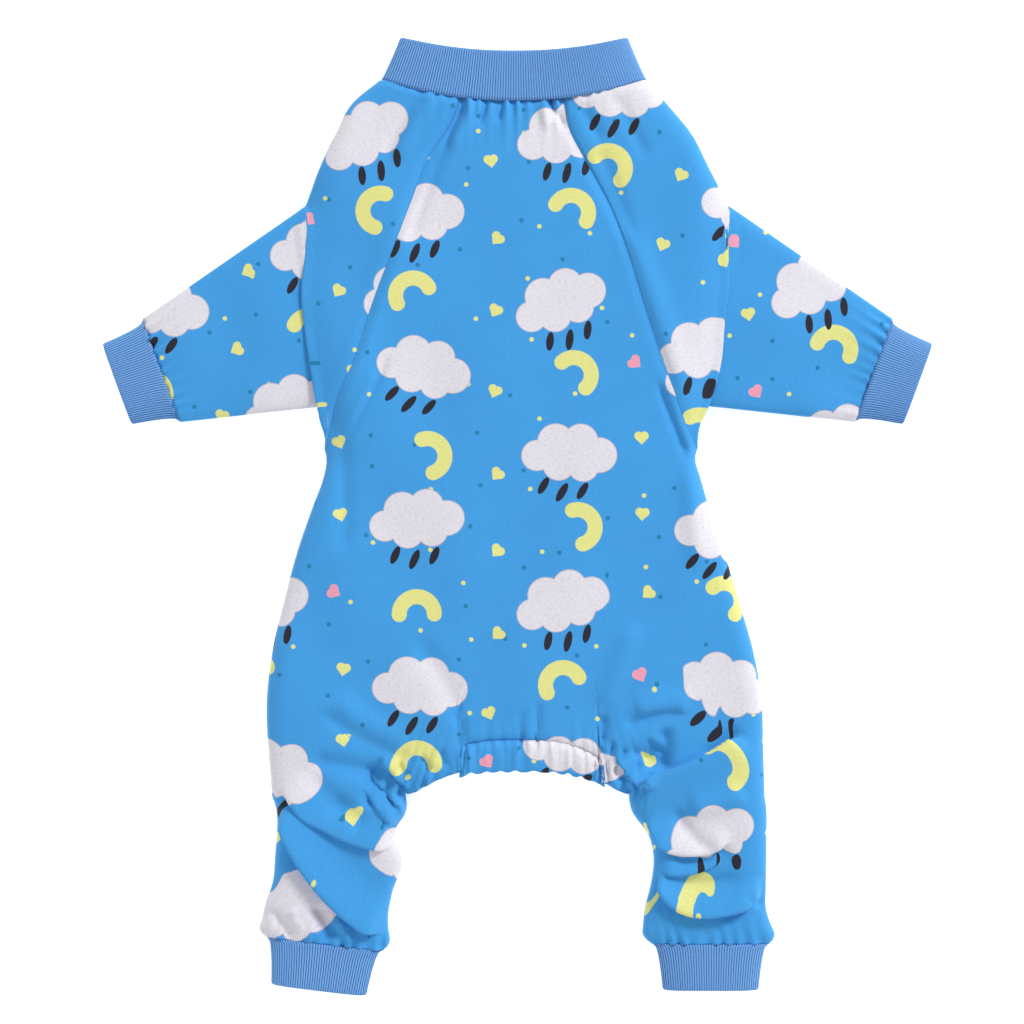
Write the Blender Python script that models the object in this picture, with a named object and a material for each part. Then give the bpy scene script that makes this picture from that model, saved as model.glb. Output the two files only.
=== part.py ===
"""Pull-on jumpsuit for a medium dog, laid flat with its back up.

Metres. +Y runs to the neck, +X to the wearer's right, +Z is up and the floor is z = 0.
Every cloth wall is a sheet: its middle surface is worked out here, and a Solidify
modifier gives it its thickness. The upper layer (back panel, sleeve caps) and the lower
layer (belly panel) meet at the side folds, where both come down to half the loft.
"""
from collections import namedtuple
import math

import bmesh
import bpy
import numpy as np

# Neck and collar
NECK_WIDTH = 0.1455
COLLAR_TOP_WIDTH = 0.1250
COLLAR_DEPTH = 0.0275
COLLAR_SEAM_DIP = 0.0121
COLLAR_TOP_DIP = 0.0080
BACK_NECK_WIDTH = 0.0566
NECK_OFFSET = -0.0018

# Trunk
ARMHOLE_DEPTH = 0.1910
SHOULDER_WIDTH = 0.2326
SHOULDER_DROP = 0.0575
WAIST_WIDTH = 0.2024
HIP_WIDTH = 0.2720
TRUNK_LENGTH = 0.3784

# Rear opening between the hind legs
REAR_ARCH = 0.0280
CASING_DEPTH = 0.0150
BELLY_ARCH = 0.0620
CASING_PLEAT = 0.0110
CASING_PLEAT_HEIGHT = 0.0010

# Hind legs
LEG_WIDTH = 0.0737
LEG_LENGTH = 0.0847
HIND_CUFF_SEAM = 0.0642
HIND_CUFF_WIDTH = 0.0525
HIND_CUFF_LENGTH = 0.0255
HIND_CUFF_TILT = {"left": math.radians(7.0), "right": math.radians(0.0)}

# Sleeves
SLEEVE_LENGTH = 0.0955
SLEEVE_ROOT = 0.1103
SLEEVE_SLOPE = math.radians(22.0)
ROOT_TILT = math.radians(9.2)
FRONT_CUFF_SEAM = 0.0598
FRONT_CUFF_WIDTH = 0.0470
FRONT_CUFF_LENGTH = 0.0256
CUFF_SLOPE = math.radians(17.0)
CUFF_SEAM_TILT = math.radians(20.0)
PLEAT_TURN = 0.0060

# Walls and the height of the upper layer over the floor
CLOTH = 0.0012
RIB = 0.0022
CASING = 0.0026
NECK_LOFT = 0.0120
CHEST_LOFT = 0.0150
HIP_LOFT = 0.0160
HIND_CUFF_LOFT = 0.0115
SLEEVE_LOFT = 0.0095
FRONT_CUFF_LOFT = 0.0090
FOLD_DROP = 0.0012
EDGE_ROUND = 0.0120
SEAM_GAP = 0.0006
EDGE_GAP = 0.0008

# How full a side fold is: 2 is a circle's quarter, more is squarer
EDGE_POWER = 2.4
SLEEVE_POWER = 4.0
# How much the collar's seam keeps to the middle before it climbs to the sides
DIP_POWER = 2.2
# Length of the turning tangent that throws the sleeve's pleat over by one unit
TURN_GAIN = 5.2
# Share of the sleeve's root over which the pleat grows from nothing, and of the cap that it may take
PLEAT_FADE = 0.12
PLEAT_ROOM = 0.45
# Where along the cap's top edge the shoulder line ends and the collar seam starts
CAP_CORNER = 0.62
# Share of a leg's length over which the trunk's side line passes into the leg's own
LEG_BLEND = 0.1
# How squarely the rear edge arches up between the legs
REAR_POWER = 3
# How flat a ribbed band's section is, and how soon the band narrows below its seam
RIB_FLATNESS = 1.6
RIB_EASE = 0.6
# Share of the rear edge that each end of the casing leaves bare, and how slowly it deepens from there
CASING_INSET = 0.04
CASING_TAPER = 0.5

# Shares of a width that lie left and right of the centre line
Halves = namedtuple("Halves", "left right")
BACK_NECK = Halves(0.55, 0.45)
SHOULDER = Halves(0.50, 0.50)
WAIST = Halves(0.518, 0.482)
HIP = Halves(0.505, 0.495)

# Raglan seam: down is a share of ARMHOLE_DEPTH, left and right go from neck (0) to underarm (1)
Raglan = namedtuple("Raglan", "down left right")
RAGLAN = (
    Raglan(0.00, 0.00, 0.00),
    Raglan(0.09, 0.09, 0.04),
    Raglan(0.17, 0.22, 0.14),
    Raglan(0.32, 0.37, 0.34),
    Raglan(0.46, 0.50, 0.48),
    Raglan(0.62, 0.66, 0.61),
    Raglan(0.76, 0.78, 0.74),
    Raglan(0.86, 0.90, 0.84),
    Raglan(0.95, 0.96, 0.93),
    Raglan(1.00, 1.00, 1.00),
)

# Shoulder line: down runs from collar to shoulder point, left and right from neck to shoulder
Shoulder = namedtuple("Shoulder", "down left right")
SHOULDER_LINE = (
    Shoulder(0.00, 0.00, 0.00),
    Shoulder(0.16, 0.34, 0.20),
    Shoulder(0.43, 0.60, 0.54),
    Shoulder(0.71, 0.82, 0.76),
    Shoulder(1.00, 1.00, 1.00),
)

# Folded edge of the sleeve cap: from shoulder point (0) to underarm (1), inset by that share
CapEdge = namedtuple("CapEdge", "down left right")
CAP_EDGE = (
    CapEdge(0.00, 0.00, 0.00),
    CapEdge(0.23, -0.18, -0.05),
    CapEdge(0.36, -0.27, -0.03),
    CapEdge(0.49, -0.13, 0.09),
    CapEdge(0.66, 0.18, 0.21),
    CapEdge(0.82, 0.49, 0.50),
    CapEdge(1.00, 1.00, 1.00),
)

# Side of the trunk: down runs from underarm to crotch, left and right from waist to hip
Side = namedtuple("Side", "down left right")
SIDE = (
    Side(0.00, 0.03, 0.03),
    Side(0.02, 0.00, 0.00),
    Side(0.09, 0.05, 0.08),
    Side(0.16, 0.20, 0.18),
    Side(0.30, 0.48, 0.42),
    Side(0.44, 0.70, 0.63),
    Side(0.59, 0.90, 0.85),
    Side(0.74, 1.00, 0.98),
    Side(0.87, 0.98, 1.00),
    Side(1.00, 0.92, 1.02),
)

# Hind leg: outer is a share of HIP_WIDTH, width a share of the leg's tapering width
Leg = namedtuple("Leg", "down outer width")
LEGS = {
    "left": (
        Leg(0.00, 0.4960, 1.00),
        Leg(0.14, 0.4850, 0.97),
        Leg(0.30, 0.4850, 0.90),
        Leg(0.42, 0.4880, 1.00),
        Leg(0.64, 0.4950, 0.97),
        Leg(0.77, 0.5090, 1.01),
        Leg(0.89, 0.5140, 1.04),
        Leg(1.00, 0.5090, 1.00),
    ),
    "right": (
        Leg(0.00, 0.4965, 1.00),
        Leg(0.14, 0.5020, 1.01),
        Leg(0.30, 0.5020, 0.90),
        Leg(0.42, 0.5020, 0.88),
        Leg(0.64, 0.5010, 0.93),
        Leg(0.77, 0.5010, 0.99),
        Leg(0.89, 0.5100, 1.05),
        Leg(1.00, 0.5090, 1.00),
    ),
}

# Folds of the hind legs: across runs from the outer edge to the inner one as a share of
# LEG_WIDTH, down and sag are shares of LEG_LENGTH below the crotch, rise of HIP_LOFT
Fold = namedtuple("Fold", "side across_1 down_1 across_2 down_2 sag width rise")
FOLDS = (
    Fold("left", 0.07, 0.02, 0.90, 0.34, 0.12, 0.070, 0.20),
    Fold("left", 0.08, 0.28, 0.86, 0.92, 0.14, 0.080, 0.22),
    Fold("left", 0.32, -0.42, 0.97, -0.16, 0.05, 0.070, 0.14),
    Fold("right", 0.18, -0.36, 0.92, -0.05, 0.04, 0.070, 0.20),
    Fold("right", 0.28, 0.28, 0.86, 0.22, 0.12, 0.070, 0.20),
    Fold("right", 0.10, 0.84, 0.84, 0.72, 0.12, 0.070, 0.20),
)

# Mesh fineness
SIDE_ROWS = 11
LEG_ROWS = 10
LEG_COLUMNS = 8
REAR_COLUMNS = 12
TUBE_ROWS = 5
TURN_POINTS = 8
CAP_COLUMNS = 5
RIB_SIDES = 14
RIB_RINGS = 4
CASING_COLUMNS = 34
CASING_ROWS = 4
EDGE_POINTS = 31
LEG_EDGE_POINTS = 24
SHOULDER_POINTS = 17
FOLD_POINTS = 9

# Where the sleeve is cut across, from its upper edge (0) to the underarm edge (1)
ACROSS = (0.0, 0.012, 0.04, 0.09, 0.17, 0.29, 0.42, 0.55, 0.68, 0.80, 0.90, 0.96, 0.988, 1.0)

# Heights that follow from the sizes above
OVERALL_LENGTH = COLLAR_DEPTH + TRUNK_LENGTH + LEG_LENGTH + HIND_CUFF_LENGTH
NECK_RISE = COLLAR_TOP_DIP + COLLAR_DEPTH
SEAM_Y = (OVERALL_LENGTH + COLLAR_TOP_DIP) / 2.0 - NECK_RISE
UNDERARM_Y = SEAM_Y - ARMHOLE_DEPTH
SHOULDER_Y = SEAM_Y - SHOULDER_DROP
CROTCH_Y = SEAM_Y - TRUNK_LENGTH
HIND_SEAM_Y = CROTCH_Y - LEG_LENGTH

SIGN = {"left": -1.0, "right": 1.0}


def lerp(start, end, share):
    return start + (end - start) * share


def smooth(share):
    share = np.clip(share, 0.0, 1.0)
    return share * share * (3.0 - 2.0 * share)


def read_table(rows, column, down):
    """Value of a column at any place, on a smooth curve through the table's rows."""
    places = np.array([row.down for row in rows])
    values = np.array([getattr(row, column) for row in rows])
    slopes = np.gradient(values, places)
    down = np.clip(down, places[0], places[-1])
    low = np.clip(np.searchsorted(places, down) - 1, 0, len(places) - 2)
    step = places[low + 1] - places[low]
    share = (down - places[low]) / step
    rest = 1.0 - share
    start = values[low] * (1.0 + 2.0 * share) + slopes[low] * step * share
    end = values[low + 1] * (1.0 + 2.0 * rest) - slopes[low + 1] * step * rest
    return start * rest * rest + end * share * share


def half(width, halves, side):
    return width * getattr(halves, side)


def collar_seam_y(x):
    across = np.abs(x - NECK_OFFSET) / (NECK_WIDTH / 2.0)
    return SEAM_Y + COLLAR_SEAM_DIP * np.clip(across, 0.0, 1.0) ** DIP_POWER


def neck_corner(side):
    return np.array([NECK_OFFSET + SIGN[side] * NECK_WIDTH / 2.0, SEAM_Y + COLLAR_SEAM_DIP])


def side_x(side, y):
    """Side fold of the trunk and the hind leg, from underarm to hind cuff."""
    down = (UNDERARM_Y - y) / (UNDERARM_Y - CROTCH_Y)
    share = read_table(SIDE, side, down)
    trunk = lerp(half(WAIST_WIDTH, WAIST, side), half(HIP_WIDTH, HIP, side), share)
    leg = HIP_WIDTH * read_table(LEGS[side], "outer", (CROTCH_Y - y) / LEG_LENGTH)
    return SIGN[side] * np.where(y >= CROTCH_Y, trunk, lerp(trunk, leg, leg_share(y)))


def leg_share(y):
    return smooth((CROTCH_Y - y) / (LEG_LENGTH * LEG_BLEND))


def leg_width(side, y):
    down = (CROTCH_Y - y) / LEG_LENGTH
    return lerp(LEG_WIDTH, HIND_CUFF_SEAM, np.clip(down, 0, 1)) * read_table(LEGS[side], "width", down)


def underarm(side):
    return np.array([side_x(side, UNDERARM_Y), UNDERARM_Y])


def raglan_line(side, down):
    """Points of the raglan seam at shares of the armhole's depth."""
    share = read_table(RAGLAN, side, down)
    x = lerp(SIGN[side] * half(BACK_NECK_WIDTH, BACK_NECK, side), underarm(side)[0], share)
    return np.stack([x, lerp(collar_seam_y(x), UNDERARM_Y, down)], axis=-1)


def shoulder_line(side, down):
    corner = neck_corner(side)
    point_x = SIGN[side] * half(SHOULDER_WIDTH, SHOULDER, side)
    x = lerp(corner[0], point_x, read_table(SHOULDER_LINE, side, down))
    return np.stack([x, lerp(corner[1], SHOULDER_Y, down)], axis=-1)


def cap_edge(side, down):
    point_x = SIGN[side] * half(SHOULDER_WIDTH, SHOULDER, side)
    x = lerp(point_x, underarm(side)[0], read_table(CAP_EDGE, side, down))
    return np.stack([x, lerp(SHOULDER_Y, UNDERARM_Y, down)], axis=-1)


def hind_seam(side, share):
    """Seam of the hind cuff from the outer edge (0) to the inner one (1)."""
    tilt = HIND_CUFF_TILT[side]
    outer_x = SIGN[side] * HIP_WIDTH * LEGS[side][-1].outer
    middle = outer_x - SIGN[side] * HIND_CUFF_SEAM / 2.0
    along = (share - 0.5) * HIND_CUFF_SEAM
    return np.stack([middle - SIGN[side] * along, HIND_SEAM_Y - along * math.sin(tilt)], axis=-1)


def trunk_shares():
    """Places of the back's columns across the trunk, close together at the leg edges."""
    turn = np.linspace(0.0, math.pi, LEG_COLUMNS + 1)
    leg = 0.5 - 0.5 * np.cos(turn)
    left_width = LEG_WIDTH / (half(HIP_WIDTH, HIP, "left") + half(HIP_WIDTH, HIP, "right"))
    turn = np.linspace(0.0, math.pi, REAR_COLUMNS + 1)
    rear = lerp(left_width, 1.0 - left_width, 0.5 - 0.5 * np.cos(turn))
    return np.concatenate([leg * left_width, rear[1:-1], 1.0 - leg[::-1] * left_width])


def rear_line(share, arch):
    """How far the rear edge arches up over the crotch at shares of the trunk's width."""
    edge = trunk_shares()[LEG_COLUMNS]
    inside = np.clip((share - edge) / (1.0 - 2.0 * edge), 0.0, 1.0)
    return arch * (1.0 - np.abs(2.0 * inside - 1.0) ** REAR_POWER)


def closed_edges():
    """Plan lines where the upper and the lower layer meet, as rows of short segments."""
    lines = []
    for side in SIGN:
        lines.append(shoulder_line(side, np.linspace(0.0, 1.0, SHOULDER_POINTS)))
        y = np.linspace(UNDERARM_Y, CROTCH_Y, EDGE_POINTS)
        lines.append(np.stack([side_x(side, y), y], axis=-1))
        outer, inner = [leg_grid(side, LEG_EDGE_POINTS)[:, column] for column in (0, -1)]
        lines += [outer, inner]
    return lines


def distance_to(points, lines):
    """Plan distance from each point to the nearest of some lines."""
    starts = np.concatenate([line[:-1] for line in lines])
    ends = np.concatenate([line[1:] for line in lines])
    run = ends - starts
    reach = points[..., None, :] - starts
    share = np.clip((reach * run).sum(-1) / np.maximum((run * run).sum(-1), 1e-12), 0.0, 1.0)
    return np.linalg.norm(reach - share[..., None] * run, axis=-1).min(axis=-1)


def edge_rise(distance):
    """0 at a side fold, 1 where the cloth has turned level."""
    out = 1.0 - np.clip(distance / EDGE_ROUND, 0.0, 1.0)
    return (1.0 - out ** EDGE_POWER) ** (1.0 / EDGE_POWER)


def loft(y):
    """Height of the upper layer over the floor along the trunk and the legs."""
    stations = (HIND_SEAM_Y, CROTCH_Y, UNDERARM_Y, SEAM_Y)
    heights = (HIND_CUFF_LOFT, HIP_LOFT, CHEST_LOFT, NECK_LOFT)
    return np.interp(y, stations, heights)


def fold_relief(points):
    """Height that the folds of the hind legs add to the upper layer."""
    relief = np.zeros(points.shape[:-1])
    for fold in FOLDS:
        sign = SIGN[fold.side]
        outer = sign * HIP_WIDTH * LEGS[fold.side][0].outer
        across = np.array([fold.across_1, (fold.across_1 + fold.across_2) / 2.0, fold.across_2])
        down = np.array([fold.down_1, (fold.down_1 + fold.down_2) / 2.0 + fold.sag, fold.down_2])
        turn = np.linspace(0.0, 1.0, FOLD_POINTS)
        knots = np.stack([outer - sign * across * LEG_WIDTH, CROTCH_Y - down * LEG_LENGTH], axis=-1)
        blend = np.stack([(1 - turn) ** 2, 2 * turn * (1 - turn), turn ** 2], axis=-1)
        near = distance_to(points, [blend @ knots]) / (fold.width * LEG_LENGTH)
        relief += fold.rise * HIP_LOFT * np.exp(-near ** 2)
    return relief


def layer(points, upper, gap=EDGE_GAP):
    """Put plan points on the upper or lower layer, which part by the gap at the side folds."""
    level = loft(points[..., 1])
    folded = [cap_edge(side, np.linspace(0.0, 1.0, SHOULDER_POINTS)) for side in SIGN]
    drop = FOLD_DROP * np.exp(-(distance_to(points, folded) / EDGE_ROUND) ** 2)
    level = level - drop
    rise = edge_rise(distance_to(points, closed_edges()))
    middle = level / 2.0
    if upper:
        z = middle + gap / 2.0 + (level - middle) * rise + fold_relief(points) * rise
    else:
        z = (middle - gap / 2.0) * (1.0 - rise)
    return np.concatenate([points, z[..., None] + CLOTH / 2.0], axis=-1)


def trunk_grid(arch, inset):
    """Plan grid of the trunk: rows from the collar seam to the rear edge."""
    shares = trunk_shares()
    rows = []
    for down in ACROSS:
        left, right = [raglan_line(side, down) for side in ("left", "right")]
        in_seam = SEAM_GAP / 2.0 if down < 1.0 else 0.0
        x = lerp(left[0] + in_seam, right[0] - in_seam, shares)
        top = collar_seam_y(x) - SEAM_GAP / 2.0
        rows.append(np.stack([x, lerp(top, UNDERARM_Y, down)], axis=-1))
    rear = rear_line(shares, arch)
    for down in np.linspace(0.0, 1.0, SIDE_ROWS + 1)[1:]:
        level = lerp(UNDERARM_Y, CROTCH_Y, down)
        x = lerp(side_x("left", level), side_x("right", level), shares)
        y = lerp(UNDERARM_Y, CROTCH_Y + rear + inset * (rear > 0.0), down)
        rows.append(np.stack([x, y], axis=-1))
    return np.stack(rows)


def leg_grid(side, rows):
    """Plan grid of one hind leg from the crotch to the cuff seam, outer edge first."""
    turn = np.linspace(0.0, math.pi, LEG_COLUMNS + 1)
    share = 0.5 - 0.5 * np.cos(turn)
    grid = np.zeros((rows + 1, len(share), 2))
    for index, down in enumerate(np.linspace(0.0, 1.0, rows + 1)):
        y = CROTCH_Y - down * LEG_LENGTH
        outer = side_x(side, y)
        x = outer - SIGN[side] * leg_width(side, y) * share
        seam = hind_seam(side, share) + np.array([0.0, SEAM_GAP / 2.0])
        straight_seam = np.stack([x, np.full(len(share), HIND_SEAM_Y)], axis=-1)
        level = np.stack([x, np.full(len(share), y)], axis=-1)
        grid[index] = level + down ** 2 * (seam - straight_seam)
    return grid


def add_grid(mesh, grid):
    verts = [[mesh.verts.new(point) for point in row] for row in grid]
    for upper, lower in zip(verts, verts[1:]):
        for index in range(len(upper) - 1):
            mesh.faces.new((upper[index], lower[index], lower[index + 1], upper[index + 1]))


def finish(mesh, name, wall, material):
    """Merge the shared edges, give the sheet its wall and put it in the scene."""
    bmesh.ops.remove_doubles(mesh, verts=mesh.verts, dist=0.00002)
    bmesh.ops.dissolve_degenerate(mesh, edges=mesh.edges, dist=0.00002)
    bmesh.ops.recalc_face_normals(mesh, faces=mesh.faces)
    data = bpy.data.meshes.new(name)
    mesh.to_mesh(data)
    mesh.free()
    data.shade_smooth()
    data.materials.append(material)
    piece = bpy.data.objects.new(name, data)
    bpy.context.scene.collection.objects.link(piece)
    solidify = piece.modifiers.new("wall", "SOLIDIFY")
    solidify.thickness = wall
    solidify.offset = 0.0
    return piece


def make_panel(name, upper, arch, material):
    """Back or belly panel: the trunk between the raglan seams and one layer of both legs."""
    mesh = bmesh.new()
    trunk = trunk_grid(arch, SEAM_GAP / 2.0 if upper else 0.0)
    add_grid(mesh, layer(trunk, upper))
    for side in SIGN:
        leg = leg_grid(side, LEG_ROWS)
        if side == "right":
            leg = leg[:, ::-1]
            leg[0] = trunk[-1, -LEG_COLUMNS - 1:]
        else:
            leg[0] = trunk[-1, :LEG_COLUMNS + 1]
        add_grid(mesh, layer(leg, upper))
    return finish(mesh, name, CLOTH, material)


def sleeve_tube(side):
    """Corners of the sleeve: cuff seam, root line and the cap's folded edge."""
    sign = SIGN[side]
    across = np.array(ACROSS)[:, None]
    shoulder = cap_edge(side, 0.0)
    root_end = shoulder + SLEEVE_ROOT * np.array([-sign * math.sin(ROOT_TILT), -math.cos(ROOT_TILT)])
    root = lerp(shoulder, root_end, across)
    axis = np.array([sign * math.cos(SLEEVE_SLOPE), -math.sin(SLEEVE_SLOPE)])
    middle = (shoulder + root_end) / 2.0 + SLEEVE_LENGTH * axis
    seam = middle + (across - 0.5) * FRONT_CUFF_SEAM * cuff_seam_direction(side)
    return seam, root, middle


def cuff_seam_direction(side):
    return np.array([-SIGN[side] * math.sin(CUFF_SEAM_TILT), -math.cos(CUFF_SEAM_TILT)])


def sleeve_layer(side, upper):
    """One layer of a sleeve, from the cuff seam over the pleat to the raglan seam."""
    inward = np.array([-SIGN[side], 0.0])
    across = np.array(ACROSS)
    seam, root, _ = sleeve_tube(side)
    folded = cap_edge(side, across)
    raglan = raglan_line(side, across)
    raglan[:-1, 0] += SIGN[side] * SEAM_GAP / 2.0
    tip = underarm(side) + np.array([0.0, CLOTH + SEAM_GAP])
    folded[-1] = tip
    raglan[-1] = tip
    room = np.linalg.norm(raglan - folded, axis=-1)
    turn = np.minimum(PLEAT_TURN * smooth(across / PLEAT_FADE), PLEAT_ROOM * room)[:, None]
    start = root - turn * inward
    end = folded + turn * inward
    overlap = ((root - folded) @ inward)[:, None]
    span = ((end - start) @ inward)[:, None]
    fade = smooth((1.0 - across) / PLEAT_FADE)[:, None]
    pull = (span + TURN_GAIN * overlap * fade if upper else span) * inward
    fullness = (1.0 - np.abs(2.0 * across - 1.0) ** SLEEVE_POWER) ** (1.0 / SLEEVE_POWER)
    start_z = tube_height(fullness, SLEEVE_LOFT, edge_height(side, across), upper)
    end_z = layer(end, upper, 0.0)[:, 2]
    tube_end_z = tube_height(fullness, FRONT_CUFF_LOFT, FRONT_CUFF_LOFT / 2.0, upper)
    columns = []
    for share in np.linspace(0.0, 1.0, TUBE_ROWS + 1)[:-1]:
        z = lerp(tube_end_z, start_z, smooth(share))
        columns.append(np.concatenate([lerp(seam, start, share), z[:, None]], axis=-1))
    for share in np.linspace(0.0, 1.0, TURN_POINTS + 1)[:-1]:
        ease = smooth(share)
        bend = (share - 3.0 * share ** 2 + 2.0 * share ** 3) * pull
        z = lerp(start_z, end_z, ease)
        columns.append(np.concatenate([lerp(start, end, ease) + bend, z[:, None]], axis=-1))
    columns += cap_columns(side, across, end, raglan, upper)
    return np.stack(columns, axis=1)


def edge_height(side, across):
    """Height of the sleeve's own edge at its root, where it meets the shoulder or the underarm."""
    shoulder = layer(cap_edge(side, np.zeros(1)), True, 0.0)[0, 2] - CLOTH / 2.0
    return lerp(shoulder, SLEEVE_LOFT / 2.0, smooth(across))


def tube_height(fullness, height, edge, upper):
    return CLOTH / 2.0 + (lerp(edge, height, fullness) if upper else edge * (1.0 - fullness))


def cap_columns(side, across, end, raglan, upper):
    """The cap as a patch between the folded edge, shoulder line, collar seam and raglan seam."""
    tip = raglan[-1]
    columns = []
    for share in np.linspace(0.0, 1.0, CAP_COLUMNS + 1):
        if share <= CAP_CORNER:
            top = shoulder_line(side, 1.0 - share / CAP_CORNER)
        else:
            x = lerp(neck_corner(side)[0], raglan[0, 0], (share - CAP_CORNER) / (1.0 - CAP_CORNER))
            top = np.array([x, collar_seam_y(x) - SEAM_GAP / 2.0])
        down = across[:, None]
        sides = lerp(end, raglan, share)
        patch = lerp(top, tip, down) + sides - lerp(lerp(end[0], raglan[0], share), tip, down)
        columns.append(layer(patch, upper, 0.0))
    return columns


def make_sleeve(side, material):
    mesh = bmesh.new()
    for upper in (True, False):
        add_grid(mesh, sleeve_layer(side, upper))
    return finish(mesh, side + "_sleeve", CLOTH, material)


def rib_section(start, end, height, wall):
    """Closed section of a flattened ribbed tube between two plan points."""
    turn = np.arange(2 * RIB_SIDES) * math.pi / RIB_SIDES
    reach = np.abs(np.cos(turn)) ** (2.0 / EDGE_POWER / RIB_FLATNESS) * np.sign(np.cos(turn))
    lift = np.abs(np.sin(turn)) ** (2.0 / EDGE_POWER) * np.sign(np.sin(turn))
    plan = lerp(start, end, (0.5 - 0.5 * reach)[:, None])
    return plan, wall / 2.0 + (height - wall) / 2.0 * (1.0 + lift)


def make_rib(name, sections, wall, material, shape=None):
    """Ribbed band: closed sections from its seam to its folded outer edge."""
    mesh = bmesh.new()
    rings = []
    for start, end, height, place in sections:
        plan, z = rib_section(start, end, height, wall)
        if shape:
            plan = shape(plan, place)
        points = np.concatenate([plan, z[:, None]], axis=-1)
        rings.append([mesh.verts.new(point) for point in points])
    for first, second in zip(rings, rings[1:]):
        for index in range(len(first)):
            after = (index + 1) % len(first)
            mesh.faces.new((first[index], second[index], second[after], first[after]))
    return finish(mesh, name, wall, material)


def make_collar(material):
    corners = [neck_corner(side) for side in ("left", "right")]
    rise = COLLAR_DEPTH - COLLAR_SEAM_DIP + COLLAR_TOP_DIP
    tops = [np.array([NECK_OFFSET + SIGN[side] * COLLAR_TOP_WIDTH / 2.0, corners[0][1] + rise])
            for side in ("left", "right")]

    def dipped(plan, place):
        across = np.abs(plan[:, 0] - NECK_OFFSET) / (NECK_WIDTH / 2.0)
        seam_y = collar_seam_y(plan[:, 0]) + SEAM_GAP / 2.0
        reach = np.clip(across * NECK_WIDTH / COLLAR_TOP_WIDTH, 0.0, 1.0)
        top_y = SEAM_Y + COLLAR_DEPTH + COLLAR_TOP_DIP * reach ** DIP_POWER
        return np.stack([plan[:, 0], lerp(seam_y, top_y, place)], axis=-1)

    sections = []
    for place in np.linspace(0.0, 1.0, RIB_RINGS):
        start, end = [lerp(corner, top, place) for corner, top in zip(corners, tops)]
        sections.append((start, end, NECK_LOFT + CLOTH, place))
    return make_rib("collar", sections, RIB, material, dipped)


def make_front_cuff(side, material):
    seam, _, middle = sleeve_tube(side)
    axis = np.array([SIGN[side] * math.cos(CUFF_SLOPE), -math.sin(CUFF_SLOPE)])
    across = cuff_seam_direction(side)
    sections = []
    for place in np.linspace(0.0, 1.0, RIB_RINGS):
        centre = middle + axis * lerp(SEAM_GAP, FRONT_CUFF_LENGTH, place)
        reach = lerp(FRONT_CUFF_SEAM, FRONT_CUFF_WIDTH, place ** RIB_EASE) / 2.0
        sections.append((centre - across * reach, centre + across * reach, FRONT_CUFF_LOFT + CLOTH, place))
    return make_rib(side + "_front_cuff", sections, RIB, material)


def make_hind_cuff(side, material):
    outer, inner = hind_seam(side, np.array([0.0, 1.0]))
    middle = (outer + inner) / 2.0
    across = (inner - outer) / np.linalg.norm(inner - outer)
    sections = []
    for place in np.linspace(0.0, 1.0, RIB_RINGS):
        centre = middle - np.array([0.0, lerp(SEAM_GAP, HIND_CUFF_LENGTH, place)])
        reach = lerp(HIND_CUFF_SEAM, HIND_CUFF_WIDTH, place ** RIB_EASE) / 2.0
        sections.append((centre - across * reach, centre + across * reach, HIND_CUFF_LOFT + CLOTH, place))
    return make_rib(side + "_hind_cuff", sections, RIB, material)


def make_casing(material):
    """Gathered elastic casing along the rear edge of the back panel."""
    edge = trunk_shares()[LEG_COLUMNS]
    inside = np.linspace(CASING_INSET, 1.0 - CASING_INSET, CASING_COLUMNS + 1)
    share = lerp(edge, 1.0 - edge, inside)
    left, right = [side_x(side, CROTCH_Y) for side in ("left", "right")]
    x = lerp(left, right, share)
    arch = np.interp(share, trunk_shares(), rear_line(trunk_shares(), REAR_ARCH))
    seam_y = CROTCH_Y + arch - SEAM_GAP
    depth = CASING_DEPTH * (arch / REAR_ARCH) ** CASING_TAPER
    mesh = bmesh.new()
    rows = []
    for place in np.linspace(0.0, 1.0, CASING_ROWS):
        plan = np.stack([x, seam_y - depth * place], axis=-1)
        row = layer(plan, True)
        pleats = CASING_PLEAT_HEIGHT * np.sin(2.0 * math.pi * x / CASING_PLEAT)
        row[:, 2] += pleats * math.sin(math.pi * place)
        rows.append(row)
    add_grid(mesh, rows)
    return finish(mesh, "rump_casing", CASING, material)


def make_material(name, colour, roughness):
    material = bpy.data.materials.new(name)
    material.use_nodes = True
    shader = material.node_tree.nodes["Principled BSDF"]
    shader.inputs["Base Color"].default_value = (*colour, 1.0)
    shader.inputs["Roughness"].default_value = roughness
    shader.inputs["Metallic"].default_value = 0.0
    return material


def main():
    for item in list(bpy.data.objects):
        bpy.data.objects.remove(item, do_unlink=True)
    jersey = make_material("printed_jersey", (0.054, 0.342, 0.753), 0.85)
    rib = make_material("ribbed_knit", (0.105, 0.275, 0.672), 0.9)
    make_panel("back_panel", True, REAR_ARCH, jersey)
    make_panel("belly_panel", False, BELLY_ARCH, jersey)
    for side in SIGN:
        make_sleeve(side, jersey)
        make_front_cuff(side, rib)
        make_hind_cuff(side, rib)
    make_collar(rib)
    make_casing(jersey)


main()
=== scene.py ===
"""Looks of a pull-on dog jumpsuit: printed jersey with ribbed collar and cuffs, laid flat.

The cut of the garment is worked out here again as fine cloth surfaces. Each one replaces the
plain solid of the same name and keeps its place. Metres, +Y to the neck, floor at z = 0.
"""
import logging
import math
from dataclasses import dataclass, field
from enum import Enum
from typing import Callable, NamedTuple, Optional, Sequence, Union

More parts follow.
